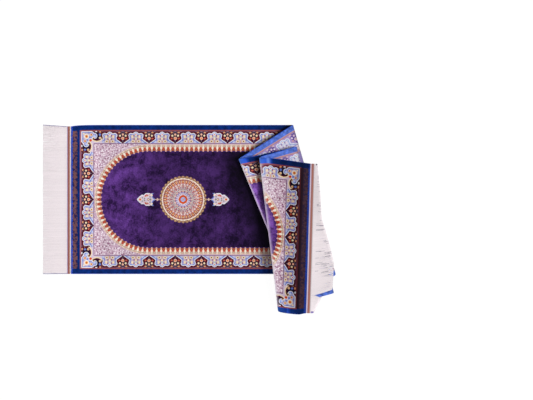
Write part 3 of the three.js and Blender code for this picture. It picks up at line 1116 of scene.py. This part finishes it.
def plain_band(tree, colours, at, on_pile):
    """The plain dark blue band, dyed unevenly, with a bright blue painted highlight where its pile opens over
    a fold.
    """
    band = Colouring(tree, colours["navy"])
    band.times(noise(tree, at.spot, DYE_PATCHES, detail=3.0) * DYE_VARIES + DYE_LEAST)
    if on_pile:
        opened_painted_light = kept(tree, "opened_painted_light")
        # A lighter blue line along the selvedge: a painted highlight on its rounded edge
        band.coat(at.from_side < SELVEDGE, colours["end_blue"])
        band.coat((opened_painted_light * OPEN_FAST - OPEN_START).limited(), colours["opened_blue_highlight"])
        band.coat((at.across < -HALF_WIDTH / 2) & at.along.between(*NEAR_OPEN), colours["near_blue_highlight"])
        streak = (1 - abs(opened_painted_light - STREAK_AT) * STREAK_NARROW).most(0)
        streak = streak * (at.along > STREAK_PAST) * (at.across > 0)
        band.coat(streak * STREAK_SHARE, colours["pale_blue_highlight"])
    return band


# %% Ends and guards
# The mottled row: where it starts and ends from the end, how near to the side it comes, and its middle
ROW_START, ROW_END, ROW_SIDE, ROW_MIDDLE = 5, 28, 24, 16.5
# Half a lozenge along the row, half its size across, and how much the shape and the blur count
LOZENGE, LOZENGE_HALF, LOZENGE_PART, BLUR_PART = 8.5, 14, 0.35, 5.5
BLUR_PATCHES = 85
BROWN_BELOW, LIGHT_BELOW = 0.86, 0.35
# The blue edge of the end, and the dots next to it: their spacing, half size and end
BLUE_EDGE = 5.2
DOT_SPACING, DOT_HALF, DOTS_END = 3.6, 1.7, 8
# The last row of knots lies over the second band. The second end is painted darker, by these shares, as
# painted shade.
LAST_ROW = 1.6
SECOND_ROW_SHADE, SECOND_BLUE_SHADE = 0.66, 0.35


def mottled_row(tree, colours, done, at):
    """The brown row: lozenges that are nearly lost in a blur."""
    blur = noise(tree, at.spot, BLUR_PATCHES, detail=3.0, distortion=0.6)
    shape = at.middle.back_and_forth(LOZENGE) / LOZENGE * LOZENGE_PART
    shape = shape + abs(at.from_end - ROW_MIDDLE) / LOZENGE_HALF + (blur - 0.5) * BLUR_PART
    row = at.from_end.between(ROW_START, ROW_END) & (at.from_side > ROW_SIDE)
    done.coat(row, colours["strip"])
    done.coat(row & (shape < BROWN_BELOW), colours["strip_brown"])
    done.coat(row & (shape < LIGHT_BELOW), colours["strip_light"])


def edge_stripes(tree, colours, done, at, on_pile):
    """Lays the guard stripes, the plain band and the stripes of the end over the rest."""
    second_end = at.along > HALF_LENGTH
    guard = (SIDE_FRAME - at.from_side) / (SIDE_FRAME - SIDE_BAND)
    guard = guard.most((END_FRAME - at.from_end) / (END_FRAME - END_BAND))
    done.coat(guard > 0, colours["guard"])
    if on_pile:
        end_guard = (at.from_end < END_FRAME) & (at.from_side > SIDE_FRAME)
        # The second end's guard is painted darker, as painted shade
        done.coat(end_guard, colours["end_guard"]).coat(end_guard & second_end, colours["shaded_second_guard"])
    done.coat(guard > 1, plain_band(tree, colours, at, on_pile))
    mottled_row(tree, colours, done, at)
    if on_pile:
        # The second end's stripes are painted darker, as painted shade
        inside = second_end & (at.from_end < END_BAND) & (at.from_side > ROW_SIDE)
        done.coat(inside * SECOND_ROW_SHADE, colours["shaded_second_row"])
        done.coat(inside & (at.from_end > ROW_END), colours["shaded_second_line"])
    dots = at.middle.back_and_forth(DOT_SPACING) < DOT_HALF
    done.coat(dots & at.from_end.between(ROW_START, DOTS_END), colours["end_blue"])
    done.coat(at.from_end < BLUE_EDGE, colours["end_blue"])
    if on_pile:
        # The second end's blue edge is painted darker too, as painted shade
        done.coat((second_end & (at.from_end < DOTS_END)) * SECOND_BLUE_SHADE, colours["shaded_second_blue"])
        done.coat(at.along > PILE_LENGTH * 1000 - LAST_ROW, colours["last_row"])


print("mottled row, in mm from the end:", ROW_START, "to", ROW_END)

# %% [markdown]
# ## The whole rug's colours
# The zones are laid one over the other: the field first, then the medallion, the vine ground, the drops,
# the border and the stripes. The pile side and the back share this plan, each with its own colours.

# %% Lay out the rug
def brushed(tree, at):
    """How much of the field is brushed light: clouds, small patches, strokes and the grain of the knots."""
    clouds = noise(tree, at.spot, 13, detail=3.0, distortion=0.3, roughness=0.6)
    patches = noise(tree, at.spot, 48, distortion=0.2)
    strokes = noise(tree, as_place(tree, at.along * 0.05, at.across * 0.014), 1.0)
    grain = noise(tree, at.spot, 150, detail=1.0)
    return (clouds * 2.2 + patches * 0.8 + strokes * 0.5 + grain * 0.9 - 1.75).limited()


def lay_medallion(tree, colours, done, at):
    """Lays the pendants and the medallion on the field."""
    out = at.from_end - MEDALLION_PLACE
    hanging, inside = pendant(tree, colours, abs(out), at.middle)
    done.coat(inside, hanging)
    rings, inside = medallion(tree, colours, how_far(out, at.middle), around(out, at.middle))
    done.coat(inside, rings)


def lay_edging(tree, colours, done, at):
    """Lays the vine ground and the drops, straight along the sides and round an arch at the end."""
    before = (FIELD_START - at.from_end).most(0)
    from_field = how_far(before, at.middle) - FIELD_RADIUS
    round_arch = around(before, at.middle).back_and_forth(math.pi / DROPS_ROUND / 2)
    round_arch = round_arch * (FIELD_RADIUS + EDGING / 2)
    straight = (at.from_end - FIELD_START).back_and_forth(DROP_SPACING / 2)
    place = straight + (round_arch - straight) * (at.from_end < FIELD_START)
    done.coat(from_field > EDGING, vine_ground(tree, colours, at.spot))
    edging, inside = drops(tree, colours, place, from_field)
    done.coat(inside & from_field.between(-1, EDGING + 0.01), edging)


def lay_border(tree, colours, done, at):
    """Lays the border on the sides and the end, and its corner over both."""
    near_end, near_side = at.from_end - END_FRAME, at.from_side - SIDE_FRAME
    depth, out = near_end.least(near_side), near_end.most(near_side)
    side_x = (drifted(at.along, at.from_end) - FIRST_CLOUD).back_and_forth(REPEAT)
    end_x = (at.middle - END_REPEAT).back_and_forth(END_REPEAT)
    x = end_x + (side_x - end_x) * (near_side < near_end)
    done.coat(depth < BORDER + BORDER_LINE, colours["line"])
    done.coat(depth < BORDER, border(tree, colours, x, depth))
    done.coat((out < CORNER) & (depth < BORDER), corner(tree, colours, out, depth))


def rug_colours(tree, colours, on_pile):
    """The whole pattern, and each point's places. Only the pile side has the marks of how pile lies, and
    its painted light and shade.
    """
    at = Places(tree)
    done = Colouring(tree, colours["field_dark"])
    done.coat(brushed(tree, at), colours["field_light"])
    if on_pile:
        done.times(kept(tree, "field_lie_and_painted_light"))
    lay_medallion(tree, colours, done, at)
    lay_edging(tree, colours, done, at)
    lay_border(tree, colours, done, at)
    edge_stripes(tree, colours, done, at, on_pile)
    return done, at


PILE_COLOURS = {
    "field_dark": "#230f38", "field_light": "#603888", "maroon": "#561026", "shade": "#22102e",
    "cream": "#f6deb8", "rose": "#f0b8a0", "orange": "#e4803c", "orange_deep": "#d24c20",
    "red": "#bf4436", "apricot": "#dca078", "brown": "#7c4430", "outline": "#7186d0", "pale": "#ebe7ef",
    "sky": "#bccaf0", "mist": "#c3b2c6", "mauve_grey": "#7a6478", "plum": "#95506e", "sage": "#b6d0cc",
    "sage_dark": "#848c74", "blush": "#d6c4d6", "ground": "#d8bccb", "vine": "#b58cac",
    "vine_dark": "#86486a", "white": "#f2e6ee", "cream_light": "#f8ecdc", "cream_pink": "#e0baac",
    "cream_dull": "#dcbcaa", "coral": "#c25c48", "rust": "#9c5436", "salmon": "#e2aca6",
    "indigo": "#322470", "gold": "#c09468", "lattice": "#b7a0a8", "berry": "#d03c50", "line": "#7d4f7c",
    "guard": "#9a5050", "guard_dark": "#6e4056", "navy": "#04276a", "strip": "#291f4d",
    "strip_brown": "#593c4c", "strip_light": "#724c50", "end_blue": "#2c54cc",
    # on the pile side only: the guard stripe of each end, the opened band's painted highlights, and the
    # second end's stripes in painted shade
    "end_guard": "#a06470", "shaded_second_guard": "#6a323a", "opened_blue_highlight": "#224cce", "near_blue_highlight": "#0c2c86",
    "pale_blue_highlight": "#6a90f0", "shaded_second_row": "#3a2838", "shaded_second_line": "#2c1826",
    "shaded_second_blue": "#1a2466", "last_row": "#d8cce0", "split_pile_highlight": "#f8ecfc",
}
print("pile colours:", len(PILE_COLOURS))

# %% [markdown]
# ## The pile
# Silky cut pile lies over in patches where hands and folds have brushed it, and each knot takes the dye
# a little differently. Hair or modelled tufts could show every knot, but there are over half a million of
# them, so they are left to the colour and the bump. The colour is varied in two steps: a random share for
# each knot, and soft clouds over many knots. The pile is rough, with a sheen that lights up at a glancing
# angle, as on velvet, and the bump gives the rows of knots.


# %% Steps that finishes share
def knot_shade(tree, along, across, size, amount):
    """A random factor about 1 for each knot."""
    knot = as_place(tree, along.by("SNAP", size), across.by("SNAP", size))
    random = tree.nodes.new("ShaderNodeTexWhiteNoise")
    random.noise_dimensions = "2D"
    tree.links.new(knot, random.inputs["Vector"])
    return Reading(tree, random.outputs["Value"]) * amount + (1 - amount / 2)


def wave(places, length):
    """A wave from -1 to 1 along a reading, with a length in its own units."""
    return (places * (2 * math.pi / length)).by("SINE")


def new_finish(name, roughness, specular):
    """A new material with its node tree and its shader."""
    material = bpy.data.materials.new(name)
    material.use_nodes = True
    shader = material.node_tree.nodes["Principled BSDF"]
    shader.inputs["Roughness"].default_value = roughness
    shader.inputs["Specular IOR Level"].default_value = specular
    return material, material.node_tree, shader


def give_colour(tree, shader, colouring):
    tree.links.new(colouring.now, shader.inputs["Base Color"])


def give_bump(tree, shader, height, distance, strength):
    """Makes a finish look raised where the height, from 0 to 1, is greater. distance is in metres."""
    bump = tree.nodes.new("ShaderNodeBump")
    bump.inputs["Distance"].default_value = distance
    bump.inputs["Strength"].default_value = strength
    tree.links.new(height.socket, bump.inputs["Height"])
    tree.links.new(bump.outputs[0], shader.inputs["Normal"])


# %% Pile finish
# The top layer gets painted shade, from a place along the rug and fully so after a distance
TOP_START, TOP_RISE = 1787, 40
# How near to a bend the pile splits and shows the white between its rows, with a painted highlight, and
# how fast
SPLIT_START, SPLIT_REACH, SPLIT_SHARE = 0.48, 0.3, 0.42
# How much the dark colours lighten where pile is open or split, as painted highlight, and darken on the
# top layer and its far band, as painted shade
OPEN_LIGHTER, SPLIT_LIGHTER, TOP_SHADE = 0.52, 0.2, 0.22
TOP_BAND_SHADE = 0.42

pile_finish, tree, shader = new_finish("cut_pile", roughness=0.85, specular=0.06)
colouring, at = rug_colours(tree, PILE_COLOURS, on_pile=True)
colouring.times(knot_shade(tree, at.along, at.across, KNOT, amount=0.16))
colouring.times(noise(tree, at.spot, 22, distortion=0.4) * 0.4 + 0.8)
# Painted shadow and shade, layer by layer
colouring.times(kept(tree, "whole_painted_light"))
# Near the bends that open the pile, light is painted in: the pile's lighter sides and a painted highlight
opened_painted_light = kept(tree, "opened_painted_light")
inside_band = abs(at.across) < HALF_WIDTH - SIDE_BAND
on_top = ((at.along - TOP_START) / TOP_RISE).limited()
shaded_top = on_top * (at.along < PILE_LENGTH * 1000 - END_BAND) * inside_band
split = ((opened_painted_light - SPLIT_START) / SPLIT_REACH).limited() * inside_band
colouring.opened_painted_light(opened_painted_light * OPEN_LIGHTER + split * SPLIT_LIGHTER - shaded_top * TOP_SHADE)
# The split pile's near-white is partly a painted highlight
colouring.coat(split * SPLIT_SHARE, PILE_COLOURS["split_pile_highlight"])
# Painted shade on the top layer's far band
colouring.times(1 - on_top * (at.across > HALF_WIDTH - SIDE_BAND) * TOP_BAND_SHADE)
give_colour(tree, shader, colouring)
shader.inputs["Sheen Weight"].default_value = 0.06
shader.inputs["Sheen Roughness"].default_value = 0.4
shader.inputs["Sheen Tint"].default_value = (0.8, 0.75, 1, 1)
rows = wave(at.along, KNOT) * 0.5 + 0.5
tufts = noise(tree, at.spot, 500)
give_bump(tree, shader, rows * 0.3 + tufts, distance=0.0006, strength=0.6)
print("pile nodes:", len(tree.nodes))

# %% [markdown]
# ## The back
# On the back of a woven rug the same knots show as small flat ribs, mirrored and paler, because the
# foundation's white threads lie between them. The same plan is used with the back's own colours.

# %% Back finish
BACK_COLOURS = PILE_COLOURS | {
    "field_dark": "#8f7fc0", "field_light": "#a99ad4", "maroon": "#b298d2", "shade": "#6a489e",
    "cream": "#ece4f0", "rose": "#e0c8dc", "orange": "#e0b8b0", "orange_deep": "#d89c88",
    "red": "#cf9aa6", "apricot": "#e2c6c8", "brown": "#a888a8", "outline": "#a4b4e6", "pale": "#f2f3fb",
    "sky": "#dde4f8", "mist": "#d6d4ec", "mauve_grey": "#a08ebe", "plum": "#9a7cb8", "sage": "#d8e2ee",
    "sage_dark": "#a8a0c0", "blush": "#e6d8e6", "ground": "#ddd3e6", "vine": "#ab92c6",
    "vine_dark": "#9478b0", "white": "#efeaf4", "cream_light": "#ebdfe4", "cream_pink": "#e6d6e0",
    "cream_dull": "#e6dae2", "coral": "#d8a4a8", "rust": "#c09ab0", "salmon": "#e4c8d4",
    "indigo": "#8a80c8", "gold": "#cdb6c0", "lattice": "#c6b8d0", "berry": "#c08ab0", "line": "#9c84bc",
    "guard": "#d0a0a0", "guard_dark": "#b87888", "navy": "#5778d8", "strip": "#6a6cb0",
    "strip_brown": "#a08aa8", "strip_light": "#b8a0b4", "end_blue": "#6c80d0",
}
RIB = 3
CREASE_SHADE = 0.55

back_finish, tree, shader = new_finish("ribbed_back", roughness=0.8, specular=0.25)
colouring, at = rug_colours(tree, BACK_COLOURS, on_pile=False)
colouring.times(knot_shade(tree, at.along, at.across, KNOT, amount=0.14))
ribs = wave(at.along, RIB) * 0.5 + 0.5
# The troughs between the ribs are painted darker, as painted shade
colouring.times(ribs * 0.12 + 0.80)
# Painted shade in the bends that have the back outside
colouring.times(1 - kept(tree, "crease_shade") * CREASE_SHADE)
give_colour(tree, shader, colouring)
give_bump(tree, shader, ribs, distance=0.0004, strength=0.7)
print("back nodes:", len(tree.nodes))

# %% [markdown]
# Both finishes go on the folded slab, and the kept values become attributes of its mesh, which the
# finishes read by name. The cloth then takes the place of the CAD's plain solid.

# %% The cloth
cloth = finish_mesh(slab, "rug_cloth", [pile_finish, back_finish])
for name, values in kept_values.items():
    attribute = cloth.data.attributes.new(name, "FLOAT", "POINT")
    attribute.data.foreach_set("value", values.astype(np.float32))
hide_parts("rug_pile")

# %% [markdown]
# ## The flat-woven bands
# Past the last row of knots the weaver packs in plain weft, to hold the pile. It is a thin stiff band in
# three stripes: off-white, brown, off-white. Each is a slab like the cloth's, and thinner, with the weft's
# ridges in its surface.


# %% Band finish
BAND_PLAIN = "#e9dedd"
# Each stripe: where it starts and ends, in mm from the pile, and its colour
# The first band's last stripe, purple-grey, is painted shadow where the band meets the yarns
LEFT_STRIPES = ((0, 3, "#b8b0d0"), (6.6, 9, "#b88c80"), (9, 16.4, "#985c52"), (16.4, 21, "#ab98bc"))
RIGHT_STRIPES = (
    (0, 3, "#e0d4e2"), (3.2, 6.4, "#b08090"), (6.4, 12.6, "#a26a5a"), (12.6, 15.8, "#a8888c"),
    (15.8, 21, "#dcd3d6"),
)
THREAD = 2.0


def band_finish(name, start, stripes):
    """start is where the band meets the pile, in mm along the rug."""
    material, tree, shader = new_finish(name, roughness=0.9, specular=0.2)
    along, across, spot = flat_places(tree)
    out = abs(along - start)
    done = Colouring(tree, BAND_PLAIN)
    for low, high, colour in stripes:
        done.coat(out.between(low, high), colour)
    done.times(noise(tree, spot, 900) * 0.3 + 0.85)
    done.times(knot_shade(tree, along, across, THREAD, amount=0.12))
    give_colour(tree, shader, done)
    threads = wave(across, THREAD) * wave(along, THREAD)
    give_bump(tree, shader, threads * 0.5 + 0.5, distance=0.0004, strength=0.8)
    return material


left_weave = band_finish("flat_weave_left", 0, LEFT_STRIPES)
right_weave = band_finish("flat_weave_right", PILE_LENGTH * 1000, RIGHT_STRIPES)
print("stripes:", len(LEFT_STRIPES), "and", len(RIGHT_STRIPES))

# %% Bands
BAND_ROWS = 16
BAND_ROUNDING = 0.0006
RIDGE_LENGTH = 0.0020
RIDGE_HEIGHT, RIDGE_DEPTH = 0.00018, 0.0002


def band(name, node, start, end, lift, surface, finish):
    """start and end are places along the rug, and lift is the band's middle over the surface."""
    low, high = min(start, end), max(start, end)
    bm = flat_slab(
        BAND_ROWS, COLUMNS, lambda share, across: low + share * (high - low),
        BAND_THICKNESS, BAND_ROUNDING,
    )
    keep_flat_places(bm)
    along, across, height = points_of(bm).T
    ridge = RIDGE_HEIGHT * np.sin(along / RIDGE_LENGTH * 2 * math.pi) - RIDGE_DEPTH
    put_points(bm, laid_on(surface, along, across, height + ridge * np.sign(height) + lift))
    piece = finish_mesh(bm, name, [finish])
    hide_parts(node)
    return piece


def on_floor(along, across):
    """The middle of the thin end that lies on the floor, level with the back of the pile."""
    place = sheet_middle(along, across)
    place[:, 2] = BAND_THICKNESS / 2
    return place


band_left = band("band_left", "end_band_left", -GAP, -BAND_LENGTH, 0, on_floor, left_weave)
band_right = band(
    "band_right", "end_band_right", PILE_LENGTH + GAP, PILE_LENGTH + BAND_LENGTH,
    (BAND_THICKNESS - PILE_THICKNESS) / 2, sheet_middle, right_weave,
)

# %% [markdown]
# ## The fringes
# The warp threads come out of each band as a fringe of soft off-white yarns. One straight yarn is made
# and copied side by side. Each copy then gets its own length, a slight wave and a place in a loose lock,
# and the whole row is laid on a surface, as the cloth is.

# %% Straight yarns
YARNS = 400
YARN_SIDES = 6
YARN_RADIUS = 0.00115


def straight_yarns(count, rings):
    """Yarns along X from 0 to 1, side by side at whole numbers of Y."""
    bm = bmesh.new()
    bmesh.ops.create_cone(bm, cap_ends=True, segments=YARN_SIDES, radius1=YARN_RADIUS,
                          radius2=YARN_RADIUS, depth=1)
    long_edges = [edge for edge in bm.edges if abs(edge.verts[0].co.z - edge.verts[1].co.z) > 0.5]
    bmesh.ops.subdivide_edges(bm, edges=long_edges, cuts=rings - 1)
    bmesh.ops.rotate(bm, verts=bm.verts, cent=(0, 0, 0), matrix=Matrix.Rotation(math.pi / 2, 3, "Y"))
    bmesh.ops.translate(bm, verts=bm.verts, vec=(0.5, 0, 0))
    one = len(bm.verts)
    bmesh.ops.spin(bm, geom=bm.faces[:], cent=(0, 0, 0), axis=(0, 0, 1), dvec=(0, 1, 0), angle=0,
                   steps=count - 1, use_duplicate=True)
    bmesh.ops.recalc_face_normals(bm, faces=bm.faces)
    tips = [face for face in bm.faces if len(face.verts) == YARN_SIDES]
    for tip in tips:
        for edge in tip.edges:
            edge.smooth = False
    print("yarns:", count, "of", one, "points each")
    return bm


# %% [markdown]
# The first fringe lies straight out on the floor. The second hangs down over the folded layers below it,
# and its yarns are swept towards the far side. How each place across is swept, how far out it hangs and
# how long its foot on the floor is, are the CAD's own measures. A yarn's way is a chain of legs: to its
# level, out to the edge, over it, down, and along the floor.

# %% How the second fringe lies
LIE = np.array([
    # across, turn in degrees, run, level, foot
    (0.335, 0, 0.010, 0.050, 0.030), (0.215, 0, 0.025, 0.050, 0.016), (0.107, 1, 0.034, 0.050, 0),
    (0.080, 2, 0.038, 0.050, 0), (0.003, 8, 0.063, 0.050, 0), (-0.118, 12, 0.098, 0.050, 0),
    (-0.160, 13, 0.150, 0.050, 0), (-0.2518, 20, 0.150, 0.050, 0), (-0.2522, -18, 0.044, 0.048, -0.005),
    (-0.335, -4, 0.012, 0.030, -0.002),
])
# Where the fringe parts over the edge of the layer below, and how near to it a yarn may lie
PARTING = -0.2520
PARTING_EDGE = 0.0003
SWEEP_START = 0.014
RISE = 0.040
HANG_RADIUS = 0.008
FOOT_RADIUS = 0.005


def lie_at(across):
    """The turn, run, level and foot of the yarns at places across."""
    order = np.argsort(LIE[:, 0])
    return [np.interp(across, LIE[order, 0], LIE[order, column]) for column in range(1, 5)]


def band_end(across):
    """Where the yarns come out of the second band, before the rug is put in its place."""
    return laid_on(
        sheet_middle, np.full_like(across, PILE_LENGTH + BAND_LENGTH), across,
        np.full_like(across, (FRINGE_THICKNESS - PILE_THICKNESS) / 2),
    ) - PLACE


def legs_at(start, across):
    """Each leg's length, heading where it starts, and turn."""
    _, run, level, foot = lie_at(across)
    out = run - HANG_RADIUS
    rise = np.minimum(out, RISE)
    drop = level - HANG_RADIUS - FOOT_RADIUS - FRINGE_THICKNESS
    down = np.full_like(across, -math.pi / 2)
    none = np.zeros_like(across)
    outwards = foot < 0
    return [
        (np.hypot(rise, level - start[:, 2]), np.arctan2(level - start[:, 2], rise), none),
        (out - rise, none, none),
        (none + HANG_RADIUS * math.pi / 2, none, down),
        (drop, down, none),
        (np.where(foot != 0, FOOT_RADIUS * math.pi / 2, 0), down, np.where(outwards, -down, down)),
        (np.abs(foot), np.where(outwards, 0, 2 * down), none),
    ]


def fringe_middle(distance, across):
    """The middle of the second fringe, at a distance along its yarns."""
    start = band_end(across)
    left, out, height = distance.copy(), np.zeros_like(distance), start[:, 2].copy()
    for length, heading, turn in legs_at(start, across):
        gone = np.minimum(left, length)
        half = turn * gone / np.maximum(length, 1e-9) / 2
        chord = gone * np.sinc(half / math.pi)
        out += chord * np.cos(heading + half)
        height += chord * np.sin(heading + half)
        left -= gone
    turn = np.radians(lie_at(across)[0])
    out_way = start - sheet_middle(np.full_like(across, PILE_LENGTH), across)
    out_way[:, 2] = 0
    out_way /= np.linalg.norm(out_way, axis=1, keepdims=True)
    far_way = np.column_stack([-out_way[:, 1], out_way[:, 0], out_way[:, 2]])
    swept = np.clip(out - SWEEP_START, 0, None)
    place = start.copy()
    place[:, 2] = height
    place += out_way * (out - swept + swept * np.cos(turn))[:, None]
    return place + far_way * (swept * np.sin(turn))[:, None]


def reach_at(across):
    """How long the second fringe's yarns are: at most the fringe's length, less where the floor ends them."""
    whole = sum(length for length, _, _ in legs_at(band_end(across), across))
    return np.minimum(SECOND_FRINGE_LENGTH, whole)


print("reach at the far edge, middle and near edge, in mm:", (1000 * reach_at(sides)).round())

# %% [markdown]
# The yarns are soft and off-white, and no two are quite the same shade. One even colour would make the
# fringe look like a board, and an image of yarns would blur close up. So each yarn gets a random shade and
# noise varies it along its length. Some strands of the fringe that hangs are darker: painted shadow between
# them. A bump in slanted waves gives the twist.

# %% Yarn finish
YARN_COLOUR, STRAND_COLOUR = "#f2e9ec", "#e0d6dc"
# All places are in millimetres, from the rug's middle line or along the yarns. A yarn and its gap:
YARN_STEP = 1.7
# The first fringe's outermost yarns are blue, as the selvedge is
EDGE_YARNS, EDGE_YARN_SHARE, EDGE_YARN_COLOUR = 332, 0.85, "#7068a0"
# The second fringe has darker strands, painted shadow between the yarns, past their first few millimetres.
# There are more towards the far side, and fewer past a place on the near side, by these amounts for each
# millimetre across.
STRAND_SHADOW_SHARE, STRAND_SHADOW_START, STRAND_SHADOW_COLOUR = 0.285, 12, "#948a9a"
MORE_FAR, FEWER_NEAR, FEWER_PAST = 0.00022, 0.0005, 150
# It is duller at its far side, fully so from a place across
FAR_DULLER, FAR_PLACE = 0.15, 150
# Its outermost yarns are darker where they leave the band: at the far side as painted shadow, and at the
# near side
FAR_YARNS, FAR_SHADOW_SPAN, FAR_SHADOW_COLOUR = 328, (3, 12), "#5c5664"
NEAR_YARNS, NEAR_END, NEAR_COLOUR = 326, 14, "#8272b0"


def shadowed_strands(tree, done, along, across):
    """The darker strands: painted shadow between the yarns that hang down."""
    done.times(1 - (across.most(0) / FAR_PLACE).least(1) * FAR_DULLER)
    strands = as_place(tree, along * 0.008, across.by("SNAP", YARN_STEP) * 0.9)
    shadowed = noise(tree, strands, 1.0, detail=1.0)
    shadowed = shadowed + across.most(0) * MORE_FAR - (across * -1 - FEWER_PAST).most(0) * FEWER_NEAR
    done.coat((shadowed > 1 - STRAND_SHADOW_SHARE) & (along > STRAND_SHADOW_START), STRAND_SHADOW_COLOUR)
    # A painted shadow where the far yarns leave the band
    done.coat((across > FAR_YARNS) & along.between(*FAR_SHADOW_SPAN), FAR_SHADOW_COLOUR)
    done.coat((across < -NEAR_YARNS) & (along < NEAR_END), NEAR_COLOUR)


def yarn_finish(name, hangs):
    """hangs says whether the fringe hangs down, and so gets painted shadow between its strands."""
    material, tree, shader = new_finish(name, roughness=0.9, specular=0.15)
    along, across, spot = flat_places(tree)
    done = Colouring(tree, YARN_COLOUR)
    done.coat((noise(tree, spot, 260) - 0.45).most(0) * 1.6, STRAND_COLOUR)
    done.times(knot_shade(tree, along * 0, across, YARN_STEP, amount=0.06))
    if hangs:
        shadowed_strands(tree, done, along, across)
    else:
        done.coat((abs(across) > EDGE_YARNS) * EDGE_YARN_SHARE, EDGE_YARN_COLOUR)
    give_colour(tree, shader, done)
    shader.inputs["Sheen Weight"].default_value = 0.1
    twist = (across * 4 + along * 2.2).by("SINE") * 0.5 + 0.5
    give_bump(tree, shader, twist, distance=0.0003, strength=0.5)
    return material


left_finish = yarn_finish("fringe_yarn_left", hangs=False)
right_finish = yarn_finish("fringe_yarn_right", hangs=True)
print("yarn nodes:", len(left_finish.node_tree.nodes), "and", len(right_finish.node_tree.nodes))

# %% [markdown]
# No two yarns lie alike. Each copy gets a random length, wave, drift and lift, from a generator with a
# fixed seed, so that every run makes the same fringe. The outermost yarns of the first fringe splay out.
# Each yarn gets thinner and sinks a little at its tip.

# %% Lay the fringes
# How far before distance 0 the yarns start, so that their ends are within the band
ROOTED = 0.0006
# The shortest yarn and the smallest wave, as shares of the longest and the largest
SHORTEST, SMALLEST_WAVE = 0.985, 0.3
# How many radians a yarn's wave goes through over its length, and where it may start
WAVES, LAST_PHASE = 7, 6.28
DRIFT_POWER = 1.5
# How far a yarn may be lifted or lowered, and how fast along its length that comes in
LIFT, LIFT_FAST = 0.00015, 4
# How far the first fringe's tips splay at the far edge, and how few of the yarns that takes in
SPLAY = 0.009
SPLAY_POWER = 24
# How much thinner a tip is, how far it sinks, and how near to the tip both begin
TIP_THINNER, TIP_SINKS, TIP_POWER = 0.6, 0.0007, 8
rng = np.random.default_rng(7)


def fringe(name, node, rings, length_at, surface, drift, wave_size, finish, splay):
    """drift and wave_size are how far the tips stray and the yarns wave, and splay how far they spread."""
    bm = straight_yarns(YARNS, rings)
    points = points_of(bm)
    number = points[:, 1].round().astype(int)
    share, y, z = points[:, 0], points[:, 1] - number, points[:, 2]
    pitch = (WIDTH - 2 * YARN_RADIUS) / (YARNS - 1)
    centre = WIDTH / 2 - YARN_RADIUS - number * pitch
    length = length_at(centre) * rng.uniform(SHORTEST, 1, YARNS)[number]
    phase = rng.uniform(0, LAST_PHASE, YARNS)[number]
    size = rng.uniform(SMALLEST_WAVE, 1, YARNS)[number]
    strayed = rng.normal(0, drift, YARNS)[number] * share**DRIFT_POWER
    across = centre + y + strayed + wave_size * size * np.sin(share * WAVES + phase) * share
    across = np.where(centre > PARTING, np.maximum(across, PARTING + PARTING_EDGE),
                      np.minimum(across, PARTING - PARTING_EDGE))
    lift = rng.uniform(-LIFT, LIFT, YARNS)[number] * np.minimum(share * LIFT_FAST, 1)
    across = across - splay * share * np.clip(-2 * centre / WIDTH, 0, 1) ** SPLAY_POWER
    z = z * (1 - TIP_THINNER * share**TIP_POWER) - TIP_SINKS * share**TIP_POWER
    distance = share * (length + ROOTED) - ROOTED
    flat_map = bm.loops.layers.uv.new("flat")
    for face in bm.faces:
        for loop in face.loops:
            index = loop.vert.index
            loop[flat_map].uv = (distance[index], centre[index] + y[index])
    put_points(bm, laid_on(surface, distance, across, z + lift))
    piece = finish_mesh(bm, name, [finish])
    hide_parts(node)
    return piece


def first_length(across):
    return np.full_like(across, FIRST_FRINGE_LENGTH)


def left_surface(distance, across):
    """The floor from the first band outwards. It is turned round, so that its upper side stays up."""
    return on_floor(-BAND_LENGTH - GAP - distance, -across)


fringe_left = fringe(
    "fringe_yarns_left", "fringe_left", rings=8, length_at=first_length, surface=left_surface,
    drift=0.0005, wave_size=0.0004, finish=left_finish, splay=SPLAY,
)
fringe_right = fringe(
    "fringe_yarns_right", "fringe_right", rings=16, length_at=reach_at, surface=fringe_middle,
    drift=0.0010, wave_size=0.0008, finish=right_finish, splay=0,
)
